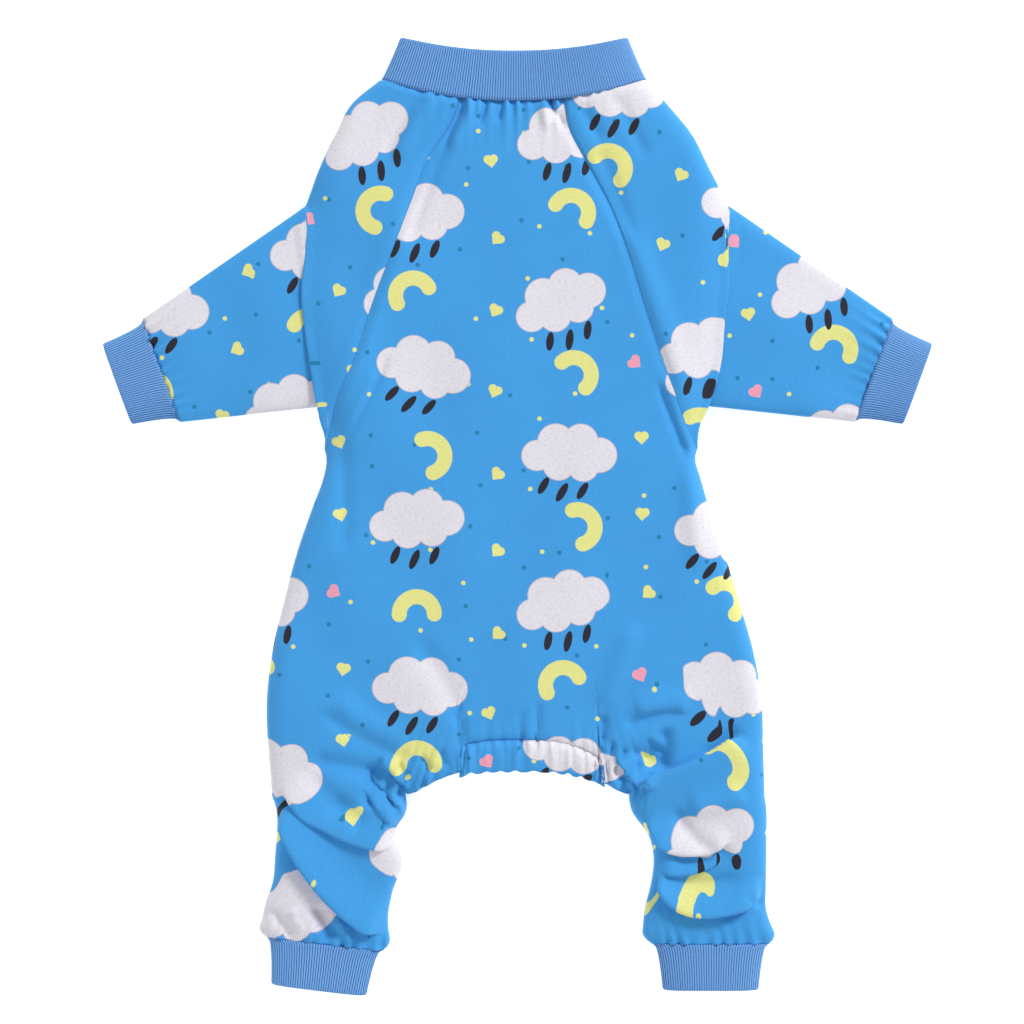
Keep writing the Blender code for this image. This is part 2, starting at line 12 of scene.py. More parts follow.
import bmesh
import bpy
import numpy as np
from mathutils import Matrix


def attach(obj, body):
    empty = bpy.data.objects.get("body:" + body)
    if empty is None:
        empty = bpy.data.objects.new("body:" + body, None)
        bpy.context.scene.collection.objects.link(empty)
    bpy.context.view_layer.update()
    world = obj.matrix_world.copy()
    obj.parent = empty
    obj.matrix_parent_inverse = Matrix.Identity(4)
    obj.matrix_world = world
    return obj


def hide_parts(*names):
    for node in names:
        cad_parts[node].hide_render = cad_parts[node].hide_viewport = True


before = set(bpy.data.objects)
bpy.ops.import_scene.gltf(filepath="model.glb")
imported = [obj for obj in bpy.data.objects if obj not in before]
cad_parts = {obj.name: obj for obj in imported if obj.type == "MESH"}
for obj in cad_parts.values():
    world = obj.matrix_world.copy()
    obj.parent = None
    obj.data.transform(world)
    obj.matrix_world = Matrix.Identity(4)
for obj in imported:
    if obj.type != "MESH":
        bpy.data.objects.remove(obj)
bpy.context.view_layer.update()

LOG = logging.getLogger("jumpsuit")
MM = 0.001
MATH = "ShaderNodeMath"
VECTOR = "ShaderNodeVectorMath"
Amount = Union[float, np.ndarray]
Socket = bpy.types.NodeSocket
Value = Union[Socket, float, tuple[float, ...]]
# Level of the collar's top over the frame's middle: the tables count down from it.
TOP_Y_MM = 264.2
# Power by which a cuff narrows: the smaller, the sooner after its seam.
CUFF_EASE = 0.42
# Distance from one rib of the knit to the next.
RIB_PITCH_MM = 1.43
# Flat cloth of the pieces: width and length in metres, and area in square metres.
PANEL_FLAT = (0.290, 0.480)
BACK_AREA = 0.088
BELLY_AREA = 0.082
COLLAR_FLAT = (0.285, 0.028)
FRONT_CUFF_FLAT = (0.110, 0.0256)
HIND_CUFF_FLAT = (0.118, 0.0255)


# Words and rows that the tables use
class Side(Enum):
    """Left or right as the garment lies, with the neck at the top."""

    LEFT = -1.0
    RIGHT = 1.0

    @property
    def word(self) -> str:
        """Plain word that names the side's pieces."""
        return self.name.lower()


class Layer(Enum):
    """Upper or lower layer of the flat garment."""

    UPPER = 1
    LOWER = 0


class Row(NamedTuple):
    """A row of a table: a place down the piece, and the value on each side."""

    down: float
    left: float
    right: float


class Lap(NamedTuple):
    """A fold where the cloth laps over itself, as a bent line in plan, in metres.

    The three points are its start, its middle pull and its end. The cloth is thrown over to
    the right hand of that line by throw, rises by rise, climbs over run and turns in turn.
    """

    start: tuple[float, float]
    pull: tuple[float, float]
    end: tuple[float, float]
    throw: float
    rise: float
    run: float
    turn: float


class Ridge(NamedTuple):
    """A soft crease or ridge as a bent line in plan, in metres: a gaussian of that width."""

    start: tuple[float, float]
    pull: tuple[float, float]
    end: tuple[float, float]
    rise: float
    width: float


# Curves and distances
def lerp(start: Amount, end: Amount, share: Amount) -> Amount:
    """Straight blend from start to end.

    Args:
        start: Value or array at share 0.
        end: Value or array at share 1.
        share: Share or array of shares.

    Returns:
        The blended value or array.
    """
    return start + (end - start) * share


def smooth(share: Amount) -> Amount:
    """Ease a share in and out.

    Args:
        share: Share or array, clipped to 0 and 1.

    Returns:
        The eased share or array.
    """
    share = np.clip(share, 0.0, 1.0)
    return share * share * (3.0 - 2.0 * share)


def spread(count: int, crowd: float = 0.6) -> np.ndarray:
    """Shares from 0 to 1 that lie closer together at both ends.

    Args:
        count: Number of steps.
        crowd: 0 for even steps, 1 for a full cosine spread.

    Returns:
        The shares, count + 1 of them.
    """
    even = np.linspace(0.0, 1.0, count + 1)
    return lerp(even, 0.5 - 0.5 * np.cos(math.pi * even), crowd)


def read_table(rows: Sequence[Row], side: Side, down: Amount) -> Amount:
    """Read a table on a smooth curve through its rows.

    Args:
        rows: The table.
        side: Which column to read.
        down: Place or array of places.

    Returns:
        The values there.
    """
    places = np.array([row.down for row in rows])
    values = np.array([row.left if side is Side.LEFT else row.right for row in rows])
    slopes = np.gradient(values, places)
    down = np.clip(down, places[0], places[-1])
    low = np.clip(np.searchsorted(places, down) - 1, 0, len(places) - 2)
    step = places[low + 1] - places[low]
    share = (down - places[low]) / step
    rest = 1.0 - share
    start = values[low] * (1.0 + 2.0 * share) + slopes[low] * step * share
    end = values[low + 1] * (1.0 + 2.0 * rest) - slopes[low + 1] * step * rest
    return start * rest * rest + end * share * share


def bent_line(points: Sequence[tuple[float, float]], count: int = 24) -> np.ndarray:
    """Points along a bent line that is pulled towards its middle point.

    Args:
        points: Start, pull and end in plan.
        count: Number of steps.

    Returns:
        Plan points, count + 1 of them.
    """
    turn = np.linspace(0.0, 1.0, count + 1)
    blend = np.stack([(1.0 - turn) ** 2, 2.0 * turn * (1.0 - turn), turn ** 2], axis=-1)
    return blend @ np.array(points)


def nearest(points: np.ndarray, line: np.ndarray) -> tuple[np.ndarray, np.ndarray, np.ndarray]:
    """Measure points against a line in plan.

    Args:
        points: Plan points, with any leading shape.
        line: Points of the line in order.

    Returns:
        Distance, share along the line, and the unit step from the line to its right hand.
        The distance is negative on the left hand of the line.
    """
    best = np.full(points.shape[:-1], np.inf)
    along = np.zeros(points.shape[:-1])
    hand = np.zeros(points.shape)
    for index, (start, end) in enumerate(zip(line[:-1], line[1:])):
        run = end - start
        reach = points - start
        share = np.clip(reach @ run / (run @ run), 0.0, 1.0)
        gap = reach - share[..., None] * run
        distance = np.linalg.norm(gap, axis=-1)
        right = np.array([run[1], -run[0]]) / np.linalg.norm(run)
        closer = distance < np.abs(best)
        best = np.where(closer, np.where(gap @ right < 0.0, -distance, distance), best)
        along = np.where(closer, (index + share) / (len(line) - 1), along)
        hand = np.where(closer[..., None], right, hand)
    return best, along, hand


def sway(points: np.ndarray, scale: float, seed: int) -> np.ndarray:
    """Gentle irregular waves over plan points.

    Args:
        points: Plan points.
        scale: Usual length of a wave in metres.
        seed: Number that picks the waves.

    Returns:
        Values of about -1 to 1.
    """
    draw = np.random.default_rng(seed)
    total = np.zeros(points.shape[:-1])
    for angle, stretch, phase in draw.uniform((0.0, 0.7, 0.0), (6.28, 1.5, 6.28), (6, 3)):
        wave = points @ np.array([math.cos(angle), math.sin(angle)]) * 2.0 * math.pi / (scale * stretch)
        total += np.sin(wave + phase)
    return total / 3.5


def gathers(along: np.ndarray, pitch: float, seed: int) -> np.ndarray:
    """Uneven ripples along a gathered seam.

    Args:
        along: Distance along the seam in metres.
        pitch: Usual distance between two ripples.
        seed: Number that picks the unevenness.

    Returns:
        Values of about -0.5 to 1, with narrow crests.
    """
    line = np.stack([along, np.zeros_like(along)], axis=-1)
    drift = sway(line, pitch * 3.7, seed)
    size = 0.65 + 0.45 * sway(line, pitch * 2.9, seed + 1)
    crest = 0.5 + 0.5 * np.cos(2.0 * math.pi * along / pitch + 1.8 * drift)
    return size * (crest ** 1.6 - 0.35)


# The garment's cut, in plan
@dataclass(frozen=True)
class Cut:
    """The cut of the garment: its sizes in metres and the plan lines that follow from them."""

    neck_width: float = 0.1455
    collar_top_width: float = 0.1250
    collar_depth: float = 0.0275
    collar_seam_dip: float = 0.0121
    collar_top_dip: float = 0.0080
    back_neck_width: float = 0.0566
    neck_offset: float = -0.0018
    armhole_depth: float = 0.1910
    shoulder_width: float = 0.2326
    shoulder_drop: float = 0.0575
    waist_width: float = 0.2024
    hip_width: float = 0.2720
    trunk_length: float = 0.3784
    rear_arch: float = 0.0280
    casing_depth: float = 0.0150
    belly_arch: float = 0.0620
    leg_width: float = 0.0737
    leg_length: float = 0.0847
    hind_cuff_seam: float = 0.0642
    hind_cuff_width: float = 0.0525
    hind_cuff_length: float = 0.0255
    hind_cuff_tilt: float = math.radians(7.0)
    hind_cuff_lean: float = -0.0030
    sleeve_length: float = 0.0955
    sleeve_root: float = 0.1103
    sleeve_slope: float = math.radians(22.0)
    root_tilt: float = math.radians(9.2)
    front_cuff_seam: float = 0.0598
    front_cuff_width: float = 0.0470
    front_cuff_length: float = 0.0256
    cuff_slope: float = math.radians(17.0)
    cuff_seam_tilt: float = math.radians(20.0)
    neck_loft: float = 0.0120
    chest_loft: float = 0.0150
    hip_loft: float = 0.0160
    hind_cuff_loft: float = 0.0115
    sleeve_loft: float = 0.0103
    front_cuff_loft: float = 0.0090
    fold_drop: float = 0.0030
    edge_round: float = 0.0120
    edge_power: float = 2.4
    dip_power: float = 2.2
    floor_gap: float = 0.0006
    blouse: float = 0.0024
    blouse_reach: float = 0.0045
    blouse_ease: float = 0.0020
    neck_lean: float = 0.05
    waist_lean: float = 0.018
    hip_lean: float = 0.005
    leg_ease: float = 0.1
    shoulder_steps: int = 24
    flank_steps: int = 48
    leg_steps: int = 40
    elastic_left: float = -0.0300
    elastic_right: float = 0.0460

    raglan: tuple[Row, ...] = (
        Row(0.00, 0.00, 0.00), Row(0.09, 0.09, 0.04), Row(0.17, 0.22, 0.14), Row(0.32, 0.37, 0.34),
        Row(0.46, 0.50, 0.48), Row(0.62, 0.66, 0.61), Row(0.76, 0.78, 0.74), Row(0.86, 0.90, 0.84),
        Row(0.95, 0.96, 0.93), Row(1.00, 1.00, 1.00),
    )
    shoulder: tuple[Row, ...] = (
        Row(0.00, 0.00, 0.00), Row(0.16, 0.34, 0.20), Row(0.43, 0.60, 0.54), Row(0.71, 0.82, 0.76),
        Row(1.00, 1.00, 1.00),
    )
    cap: tuple[Row, ...] = (
        Row(0.00, 0.00, 0.00), Row(0.23, -0.18, -0.05), Row(0.36, -0.27, -0.03), Row(0.49, -0.13, 0.09),
        Row(0.66, 0.18, 0.21), Row(0.82, 0.49, 0.50), Row(1.00, 1.00, 1.00),
    )
    flank: tuple[Row, ...] = (
        Row(0.00, 0.03, 0.03), Row(0.02, 0.00, 0.00), Row(0.09, 0.05, 0.08), Row(0.16, 0.20, 0.18),
        Row(0.30, 0.48, 0.42), Row(0.44, 0.70, 0.63), Row(0.59, 0.90, 0.85), Row(0.74, 1.00, 0.98),
        Row(0.87, 0.98, 1.00), Row(1.00, 0.92, 1.02),
    )
    leg_outer: tuple[Row, ...] = (
        Row(0.00, 0.4960, 0.4965), Row(0.14, 0.4850, 0.5020), Row(0.30, 0.4850, 0.5020),
        Row(0.42, 0.4880, 0.5020), Row(0.64, 0.4950, 0.5010), Row(0.77, 0.5090, 0.5010),
        Row(0.89, 0.5140, 0.5100), Row(1.00, 0.5090, 0.5090),
    )
    leg_span: tuple[Row, ...] = (
        Row(0.00, 1.00, 1.00), Row(0.14, 0.97, 1.01), Row(0.30, 0.90, 0.90), Row(0.42, 1.00, 0.88),
        Row(0.64, 0.97, 0.93), Row(0.77, 1.01, 0.99), Row(0.89, 1.04, 1.05), Row(1.00, 1.00, 1.00),
    )

    @property
    def seam_y(self) -> float:
        """Where the collar seam crosses the middle of the back."""
        overall = self.collar_depth + self.trunk_length + self.leg_length + self.hind_cuff_length
        return (overall + self.collar_top_dip) / 2.0 - self.collar_top_dip - self.collar_depth

    @property
    def underarm_y(self) -> float:
        """Level of the underarm points."""
        return self.seam_y - self.armhole_depth

    @property
    def shoulder_y(self) -> float:
        """Level of the shoulder points."""
        return self.seam_y - self.shoulder_drop

    @property
    def crotch_y(self) -> float:
        """Level of the crotch."""
        return self.seam_y - self.trunk_length

    @property
    def hind_seam_y(self) -> float:
        """Level of the hind cuffs' seams."""
        return self.crotch_y - self.leg_length

    def half(self, width: float, side: Side, lean: float = 0.0) -> float:
        """Half of a width, which leans to the left by a share of the width."""
        return width * (0.5 - side.value * lean)

    def collar_seam(self, x: Amount) -> Amount:
        """Level of the collar seam at x."""
        across = np.clip(np.abs(x - self.neck_offset) / (self.neck_width / 2.0), 0.0, 1.0)
        return self.seam_y + self.collar_seam_dip * across ** self.dip_power

    def neck_corner(self, side: Side) -> np.ndarray:
        """Corner where the collar seam meets the shoulder line."""
        x = self.neck_offset + side.value * self.neck_width / 2.0
        return np.array([x, self.seam_y + self.collar_seam_dip])

    def side_x(self, side: Side, y: Amount) -> Amount:
        """Side fold of the trunk and the hind leg.

        Args:
            side: Which side.
            y: Level or array of levels.

        Returns:
            Plan x of the fold there.
        """
        y = np.asarray(y, dtype=float)
        share = read_table(self.flank, side, (self.underarm_y - y) / (self.underarm_y - self.crotch_y))
        waist = self.half(self.waist_width, side, self.waist_lean)
        trunk = lerp(waist, self.half(self.hip_width, side, self.hip_lean), share)
        leg = self.hip_width * read_table(self.leg_outer, side, (self.crotch_y - y) / self.leg_length)
        into_leg = smooth((self.crotch_y - y) / (self.leg_length * self.leg_ease))
        return side.value * np.where(y >= self.crotch_y, trunk, lerp(trunk, leg, into_leg))

    def leg_width_at(self, side: Side, y: Amount) -> Amount:
        """Width of a hind leg at a level."""
        down = np.clip((self.crotch_y - y) / self.leg_length, 0.0, 1.0)
        return lerp(self.leg_width, self.hind_cuff_seam, down) * read_table(self.leg_span, side, down)

    def underarm(self, side: Side) -> np.ndarray:
        """Underarm point."""
        return np.array([float(self.side_x(side, self.underarm_y)), self.underarm_y])

    def raglan_line(self, side: Side, down: Amount) -> np.ndarray:
        """Points of the raglan seam.

        Args:
            side: Which side.
            down: Shares of the armhole's depth.

        Returns:
            Plan points.
        """
        neck = side.value * self.half(self.back_neck_width, side, self.neck_lean)
        x = lerp(neck, self.underarm(side)[0], read_table(self.raglan, side, down))
        return np.stack([x, lerp(self.collar_seam(x), self.underarm_y, down)], axis=-1)

    def shoulder_line(self, side: Side, down: Amount) -> np.ndarray:
        """Points of the shoulder line.

        Args:
            side: Which side.
            down: Shares of the way from the collar to the shoulder point.

        Returns:
            Plan points.
        """
        corner = self.neck_corner(side)
        point = side.value * self.shoulder_width / 2.0
        x = lerp(corner[0], point, read_table(self.shoulder, side, down))
        return np.stack([x, lerp(corner[1], self.shoulder_y, down)], axis=-1)

    def cap_edge(self, side: Side, down: Amount) -> np.ndarray:
        """Points of the cap's folded edge.

        Args:
            side: Which side.
            down: Shares of the way from the shoulder point to the underarm.

        Returns:
            Plan points.
        """
        point = side.value * self.shoulder_width / 2.0
        x = lerp(point, self.underarm(side)[0], read_table(self.cap, side, down))
        return np.stack([x, lerp(self.shoulder_y, self.underarm_y, down)], axis=-1)

    def hind_seam(self, side: Side, share: Amount) -> np.ndarray:
        """Points of a hind cuff's seam.

        Args:
            side: Which leg.
            share: Shares of the way from the outer end to the inner one.

        Returns:
            Plan points.
        """
        tilt = self.hind_cuff_tilt if side is Side.LEFT else 0.0
        outer = side.value * self.hip_width * read_table(self.leg_outer, side, 1.0)
        along = share * self.hind_cuff_seam
        drop = (along - self.hind_cuff_seam / 2.0) * math.sin(tilt)
        return np.stack([outer - side.value * along, self.hind_seam_y - drop], axis=-1)

    def leg_grid(self, side: Side, rows: int, shares: np.ndarray) -> np.ndarray:
        """Plan grid of a hind leg.

        Args:
            side: Which leg.
            rows: Number of steps from the crotch to the cuff seam.
            shares: Places of the columns from the outer edge to the inner one.

        Returns:
            Plan points, rows by columns.
        """
        down = np.linspace(0.0, 1.0, rows + 1)[:, None]
        y = self.crotch_y - down * self.leg_length
        x = self.side_x(side, y) - side.value * self.leg_width_at(side, y) * shares
        grid = np.stack([x, np.broadcast_to(y, x.shape)], axis=-1)
        shift = self.hind_seam(side, shares) - grid[-1]
        grid = grid + (down ** 2)[..., None] * shift
        above = (1.0 - down) * self.leg_length
        bulge = self.blouse * np.exp(-((above - self.blouse_reach) / self.blouse_reach) ** 2)
        grid[..., 0] += side.value * bulge * (1.0 - 2.0 * shares) * smooth(above / self.blouse_ease)
        return grid

    def closed_edges(self) -> list[np.ndarray]:
        """Plan lines along which the upper and the lower layer meet.

        Returns:
            For each side the shoulder line, the side fold, and the leg's outer and inner folds.
        """
        lines = []
        ends = np.array([0.0, 1.0])
        for side in Side:
            lines.append(self.shoulder_line(side, np.linspace(0.0, 1.0, self.shoulder_steps + 1)))
            y = np.linspace(self.underarm_y, self.crotch_y, self.flank_steps + 1)
            lines.append(np.stack([self.side_x(side, y), y], axis=-1))
            leg = self.leg_grid(side, self.leg_steps, ends)
            lines += [leg[:, 0], leg[:, 1]]
        return lines

    def loft(self, y: Amount) -> Amount:
        """Height of the upper layer over the floor at a level of the trunk or the legs."""
        levels = (self.hind_seam_y, self.crotch_y, self.underarm_y, self.seam_y)
        return np.interp(y, levels, (self.hind_cuff_loft, self.hip_loft, self.chest_loft, self.neck_loft))


def at(across: float, down: float) -> tuple[float, float]:
    """Plan point of a place given in millimetres right of the centre and below the collar's top."""
    return across * MM, (TOP_Y_MM - down) * MM


# How the cloth lies
@dataclass
class Drape:
    """How the cloth lies: its side folds, laps, creases and gathers over the cut."""

    cut: Cut
    laps: tuple[Lap, ...] = ()
    ridges: tuple[Ridge, ...] = ()
    collar_gather: float = 0.0034
    collar_pitch: float = 0.0068
    collar_fade: float = 0.0085
    collar_middle: float = -0.0040
    collar_half: float = 0.0620
    collar_ease: float = 0.0300
    rear_gather: float = 0.0042
    rear_pitch: float = 0.0062
    rear_fades: tuple[float, float] = (0.0120, 0.0080)
    rear_half: float = 0.0625
    rear_ease: float = 0.0180
    calm_half: float = 0.0240
    calm_ease: float = 0.0280
    elastic_step: float = 0.0020
    elastic_ease: float = 0.0140
    cuff_gather: float = 0.0030
    cuff_pitch: float = 0.0072
    cuff_fade: float = 0.0080
    sag: float = 0.0008
    sag_wave: float = 0.0700
    sag_ripple: float = 0.0260
    seam_dip: float = 0.0016
    seam_reach: float = 0.0030
    collar_seam_reach: float = 0.0022
    hem_roll: float = 0.0011
    hem_reach: float = 0.0018
    fold_close: float = 0.00010
    fold_overlap: float = 0.00014
    typical_half_loft: float = 0.0070
    lap_free: float = 0.0060
    lap_ends: float = 0.16
    lap_cloth: float = 1.9
    lap_eaten: float = 0.0450
    cap_steps: int = 32
    seam_steps: int = 48
    seams: list[np.ndarray] = field(default_factory=list)
    edges: list[np.ndarray] = field(default_factory=list)
    outward: np.ndarray = field(default_factory=lambda: np.array([1.0, 1.0, 1.0, -1.0]))
    folded: list[np.ndarray] = field(default_factory=list)

    def __post_init__(self) -> None:
        """Work out the lines that every point is measured against."""
        self.edges = self.cut.closed_edges()
        self.outward = np.concatenate([side.value * self.outward for side in Side])
        self.folded = [self.cut.cap_edge(side, np.linspace(0.0, 1.0, self.cap_steps + 1)) for side in Side]
        self.seams = [self.cut.raglan_line(side, np.linspace(0.0, 1.0, self.seam_steps + 1)) for side in Side]

    @staticmethod
    def distance(points: np.ndarray, lines: Sequence[np.ndarray]) -> np.ndarray:
        """Plan distance from points to the nearest of some lines."""
        return np.min([np.abs(nearest(points, line)[0]) for line in lines], axis=0)

    def edge_rise(self, distance: np.ndarray) -> np.ndarray:
        """0 at a side fold and 1 where the cloth has turned level."""
        out = 1.0 - np.clip(distance / self.cut.edge_round, 0.0, 1.0)
        return (1.0 - out ** self.cut.edge_power) ** (1.0 / self.cut.edge_power)

    def turned_away(self, distance: np.ndarray, half_loft: np.ndarray) -> np.ndarray:
        """Length of cloth that turns down a side fold and that the plan doesn't show.

        Args:
            distance: Plan distances to the fold.
            half_loft: Heights from the fold to the level cloth.

        Returns:
            The hidden length between each point and the level cloth.
        """
        steps = self.cut.edge_round * np.linspace(0.0, 1.0, 121) ** 2
        rise = self.typical_half_loft * self.edge_rise(steps)
        hidden = np.hypot(np.diff(steps), np.diff(rise)) - np.diff(steps)
        hidden = np.append(np.cumsum(hidden[::-1])[::-1], 0.0)
        return np.interp(distance, steps, hidden) * half_loft / self.typical_half_loft

    def soft_relief(self, points: np.ndarray) -> np.ndarray:
        """Height that ridges, sways and gathers add to the upper layer.

        Args:
            points: Plan points.

        Returns:
            Heights to add.
        """
        cut = self.cut
        x, y = points[..., 0], points[..., 1]
        relief = self.sag * (sway(points, self.sag_wave, 3) + 0.35 * sway(points, self.sag_ripple, 5))
        for ridge in self.ridges:
            gap, along, _ = nearest(points, bent_line((ridge.start, ridge.pull, ridge.end)))
            fade = smooth(np.sin(math.pi * np.clip(along, 0.0, 1.0)) * 1.6)
            relief += ridge.rise * fade * np.exp(-(gap / ridge.width) ** 2)
        below = np.maximum(cut.collar_seam(x) - y, 0.0)
        middle = 0.25 + 0.75 * smooth((self.collar_half - np.abs(x - self.collar_middle)) / self.collar_ease)
        ripple = gathers(x * (1.0 - 0.7 * below), self.collar_pitch, 11)
        relief += self.collar_gather * middle * np.exp(-below / self.collar_fade) * ripple
        relief -= self.seam_dip * np.exp(-(below / self.collar_seam_reach) ** 2)
        relief -= self.seam_dip * np.exp(-(self.distance(points, self.seams) / self.seam_reach) ** 2)
        return relief

    def elastic_share(self, x: np.ndarray, ease: float, start: float = 0.0) -> np.ndarray:
        """1 along the elastic and 0 beside it, eased over a distance."""
        cut = self.cut
        return smooth((x - cut.elastic_left) / ease + start) * smooth((cut.elastic_right - x) / ease + start)

    def rear_relief(self, points: np.ndarray) -> np.ndarray:
        """Ripples above the gathered rear seam and round both ends of it.

        Args:
            points: Plan points.

        Returns:
            Heights to add.
        """
        cut = self.cut
        x, y = points[..., 0], points[..., 1]
        out = np.abs(x)
        arch = cut.rear_arch * (1.0 - np.clip(out / self.rear_half, 0.0, 1.0) ** 3)
        hem = arch - cut.casing_depth * (arch / cut.rear_arch) ** 0.5
        elastic = self.elastic_share(x, self.elastic_step)
        above = np.abs(y - (cut.crotch_y + lerp(hem, arch, elastic)))
        inside = smooth((self.rear_half + self.rear_ease - out) / self.rear_ease)
        strong = 0.45 + 1.05 * smooth((out - self.calm_half) / self.calm_ease)
        eased = self.elastic_share(x, self.elastic_ease, 0.5)
        over = np.abs(y - (cut.crotch_y + lerp(hem, arch, eased)))
        fan = x + 0.35 * np.sign(x) * over * (1.0 - eased)
        ripple = gathers(fan, self.rear_pitch, 23) * np.exp(-over / lerp(*self.rear_fades, eased))
        dip = self.hem_roll * np.exp(-(above / self.hem_reach) ** 2) * (out < self.rear_half)
        return self.rear_gather * inside * strong * ripple - dip

    def leg_relief(self, points: np.ndarray) -> np.ndarray:
        """Ripples of both hind legs above their cuffs.

        Args:
            points: Plan points.

        Returns:
            Heights to add.
        """
        above = np.maximum(points[..., 1] - self.cut.hind_seam_y, 0.0)
        ripple = gathers(points[..., 0] * (1.0 + 2.0 * above), self.cuff_pitch, 31)
        return self.cuff_gather * np.exp(-above / self.cuff_fade) * (ripple - 0.3)

    def lap(self, points: np.ndarray, z: np.ndarray, uv: np.ndarray,
            edge: np.ndarray) -> tuple[np.ndarray, np.ndarray, np.ndarray]:
        """Throw the cloth over itself along each lap.

        Args:
            points: Plan points.
            z: Their heights.
            uv: Their places on the flat cloth.
            edge: Their distances to the side folds, where the layers stay together.

        Returns:
            The moved plan points, heights and places on the cloth.
        """
        base = points.copy()
        free = smooth(edge / self.lap_free)
        for fold in self.laps:
            gap, along, hand = nearest(base, bent_line((fold.start, fold.pull, fold.end)))
            fade = smooth(along / self.lap_ends) * smooth((1.0 - along) / self.lap_ends) * free
            climb = smooth(1.0 + gap / fold.run) ** 1.5
            bend = np.where(gap < 0.0, climb, 1.0 - smooth(gap / fold.turn)) * fade
            eaten = smooth(gap / fold.turn) * np.exp(-np.maximum(gap, 0.0) / self.lap_eaten) * fade
            points = points + hand * (fold.throw * bend)[..., None]
            uv = uv + hand * (self.lap_cloth * fold.throw * eaten)[..., None]
            z = z + fold.rise * bend
        return points, z, uv

    def lay(self, points: np.ndarray, layer: Layer, laps: bool = True) -> tuple[np.ndarray, np.ndarray]:
        """Put plan points on a layer.

        Args:
            points: Plan points.
            layer: Upper or lower.
            laps: Whether the laps and the ripples of the hind part reach these points.

        Returns:
            The points in space, and their places on the flat cloth.
        """
        cut = self.cut
        folded = self.distance(points, self.folded)
        level = cut.loft(points[..., 1]) - cut.fold_drop * np.exp(-(folded / cut.edge_round) ** 2)
        gaps = np.stack([np.abs(nearest(points, line)[0]) for line in self.edges])
        edge = np.maximum(gaps.min(axis=0) - self.fold_close, 0.0)
        rise = self.edge_rise(edge)
        overlap = self.fold_overlap * np.maximum(1.0 - 5.0 * rise, 0.0)
        middle = level / 2.0
        uv = points.copy()
        uv[..., 0] += self.outward[gaps.argmin(axis=0)] * self.turned_away(edge, middle)
        if layer is Layer.LOWER:
            z = middle * (1.0 - rise) + overlap + cut.floor_gap
            return np.concatenate([points, z[..., None]], axis=-1), uv
        z = middle + (level - middle) * rise + self.soft_relief(points) * rise - overlap + cut.floor_gap
        if laps:
            z = z + (self.rear_relief(points) + self.leg_relief(points)) * rise
            points, z, uv = self.lap(points, z, uv, edge)
        return np.concatenate([points, z[..., None]], axis=-1), uv


# Pieces of cloth
class Cloth:
    """A mesh under construction: grids of cloth with their places on the flat cloth."""

    merge = 0.01 * MM

    def __init__(self, name: str) -> None:
        """Start an empty mesh.

        Args:
            name: Name of the piece.
        """
        self.name = name
        self.mesh = bmesh.new()
        self.print_map = self.mesh.loops.layers.uv.new("print")

    def add_grid(self, points: np.ndarray, uv: np.ndarray, flip: bool = False, closed: bool = False) -> None:
        """Add a grid of quads.

        Args:
            points: Points in space, rows by columns.
            uv: Places on the flat cloth, rows by columns.
            flip: Whether to turn the faces over.
            closed: Whether the last row joins the first.
        """
        verts = [[self.mesh.verts.new(point) for point in row] for row in points]
        rows = list(range(len(verts)))
        pairs = list(zip(rows, rows[1:] + rows[:1])) if closed else list(zip(rows, rows[1:]))
        for here, after in pairs:
            for column in range(len(verts[here]) - 1):
                corners = [(here, column), (after, column), (after, column + 1), (here, column + 1)]
                if flip:
                    corners.reverse()
                face = self.mesh.faces.new([verts[row][index] for row, index in corners])
                for loop, (row, index) in zip(face.loops, corners):
                    loop[self.print_map].uv = uv[row, index]

    def finish(self, wall: float, finishes: Sequence[bpy.types.Material]) -> bpy.types.Object:
        """Merge shared edges, give the cloth its wall and put the piece in the scene.

        Args:
            wall: Thickness in metres, or 0 for a mesh that is closed already.
            finishes: Material of the right side, then of the wrong side.

        Returns:
            The finished piece.
        """
        bmesh.ops.remove_doubles(self.mesh, verts=self.mesh.verts, dist=self.merge)
        bmesh.ops.dissolve_degenerate(self.mesh, edges=self.mesh.edges, dist=self.merge)
        data = bpy.data.meshes.new(self.name)
        self.mesh.to_mesh(data)
        self.mesh.free()
        data.shade_smooth()
        for finish in finishes:
            data.materials.append(finish)
        piece = bpy.data.objects.new(self.name, data)
        bpy.context.scene.collection.objects.link(piece)
        if wall:
            solidify = piece.modifiers.new("wall", "SOLIDIFY")
            solidify.thickness = wall
            solidify.offset = 0.0
            solidify.material_offset = len(finishes) - 1
            solidify.material_offset_rim = 0
        return piece


def declare(piece: bpy.types.Object) -> None:
    """Hide the solid that a piece of cloth replaces, hang the piece on the root body and log its faces.

    Args:
        piece: The finished piece, named as the solid that it replaces with _cloth added.
    """
    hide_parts(piece.name.removesuffix("_cloth"))
    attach(piece, "root")
    LOG.info("%s: %d faces", piece.name, len(piece.data.polygons))


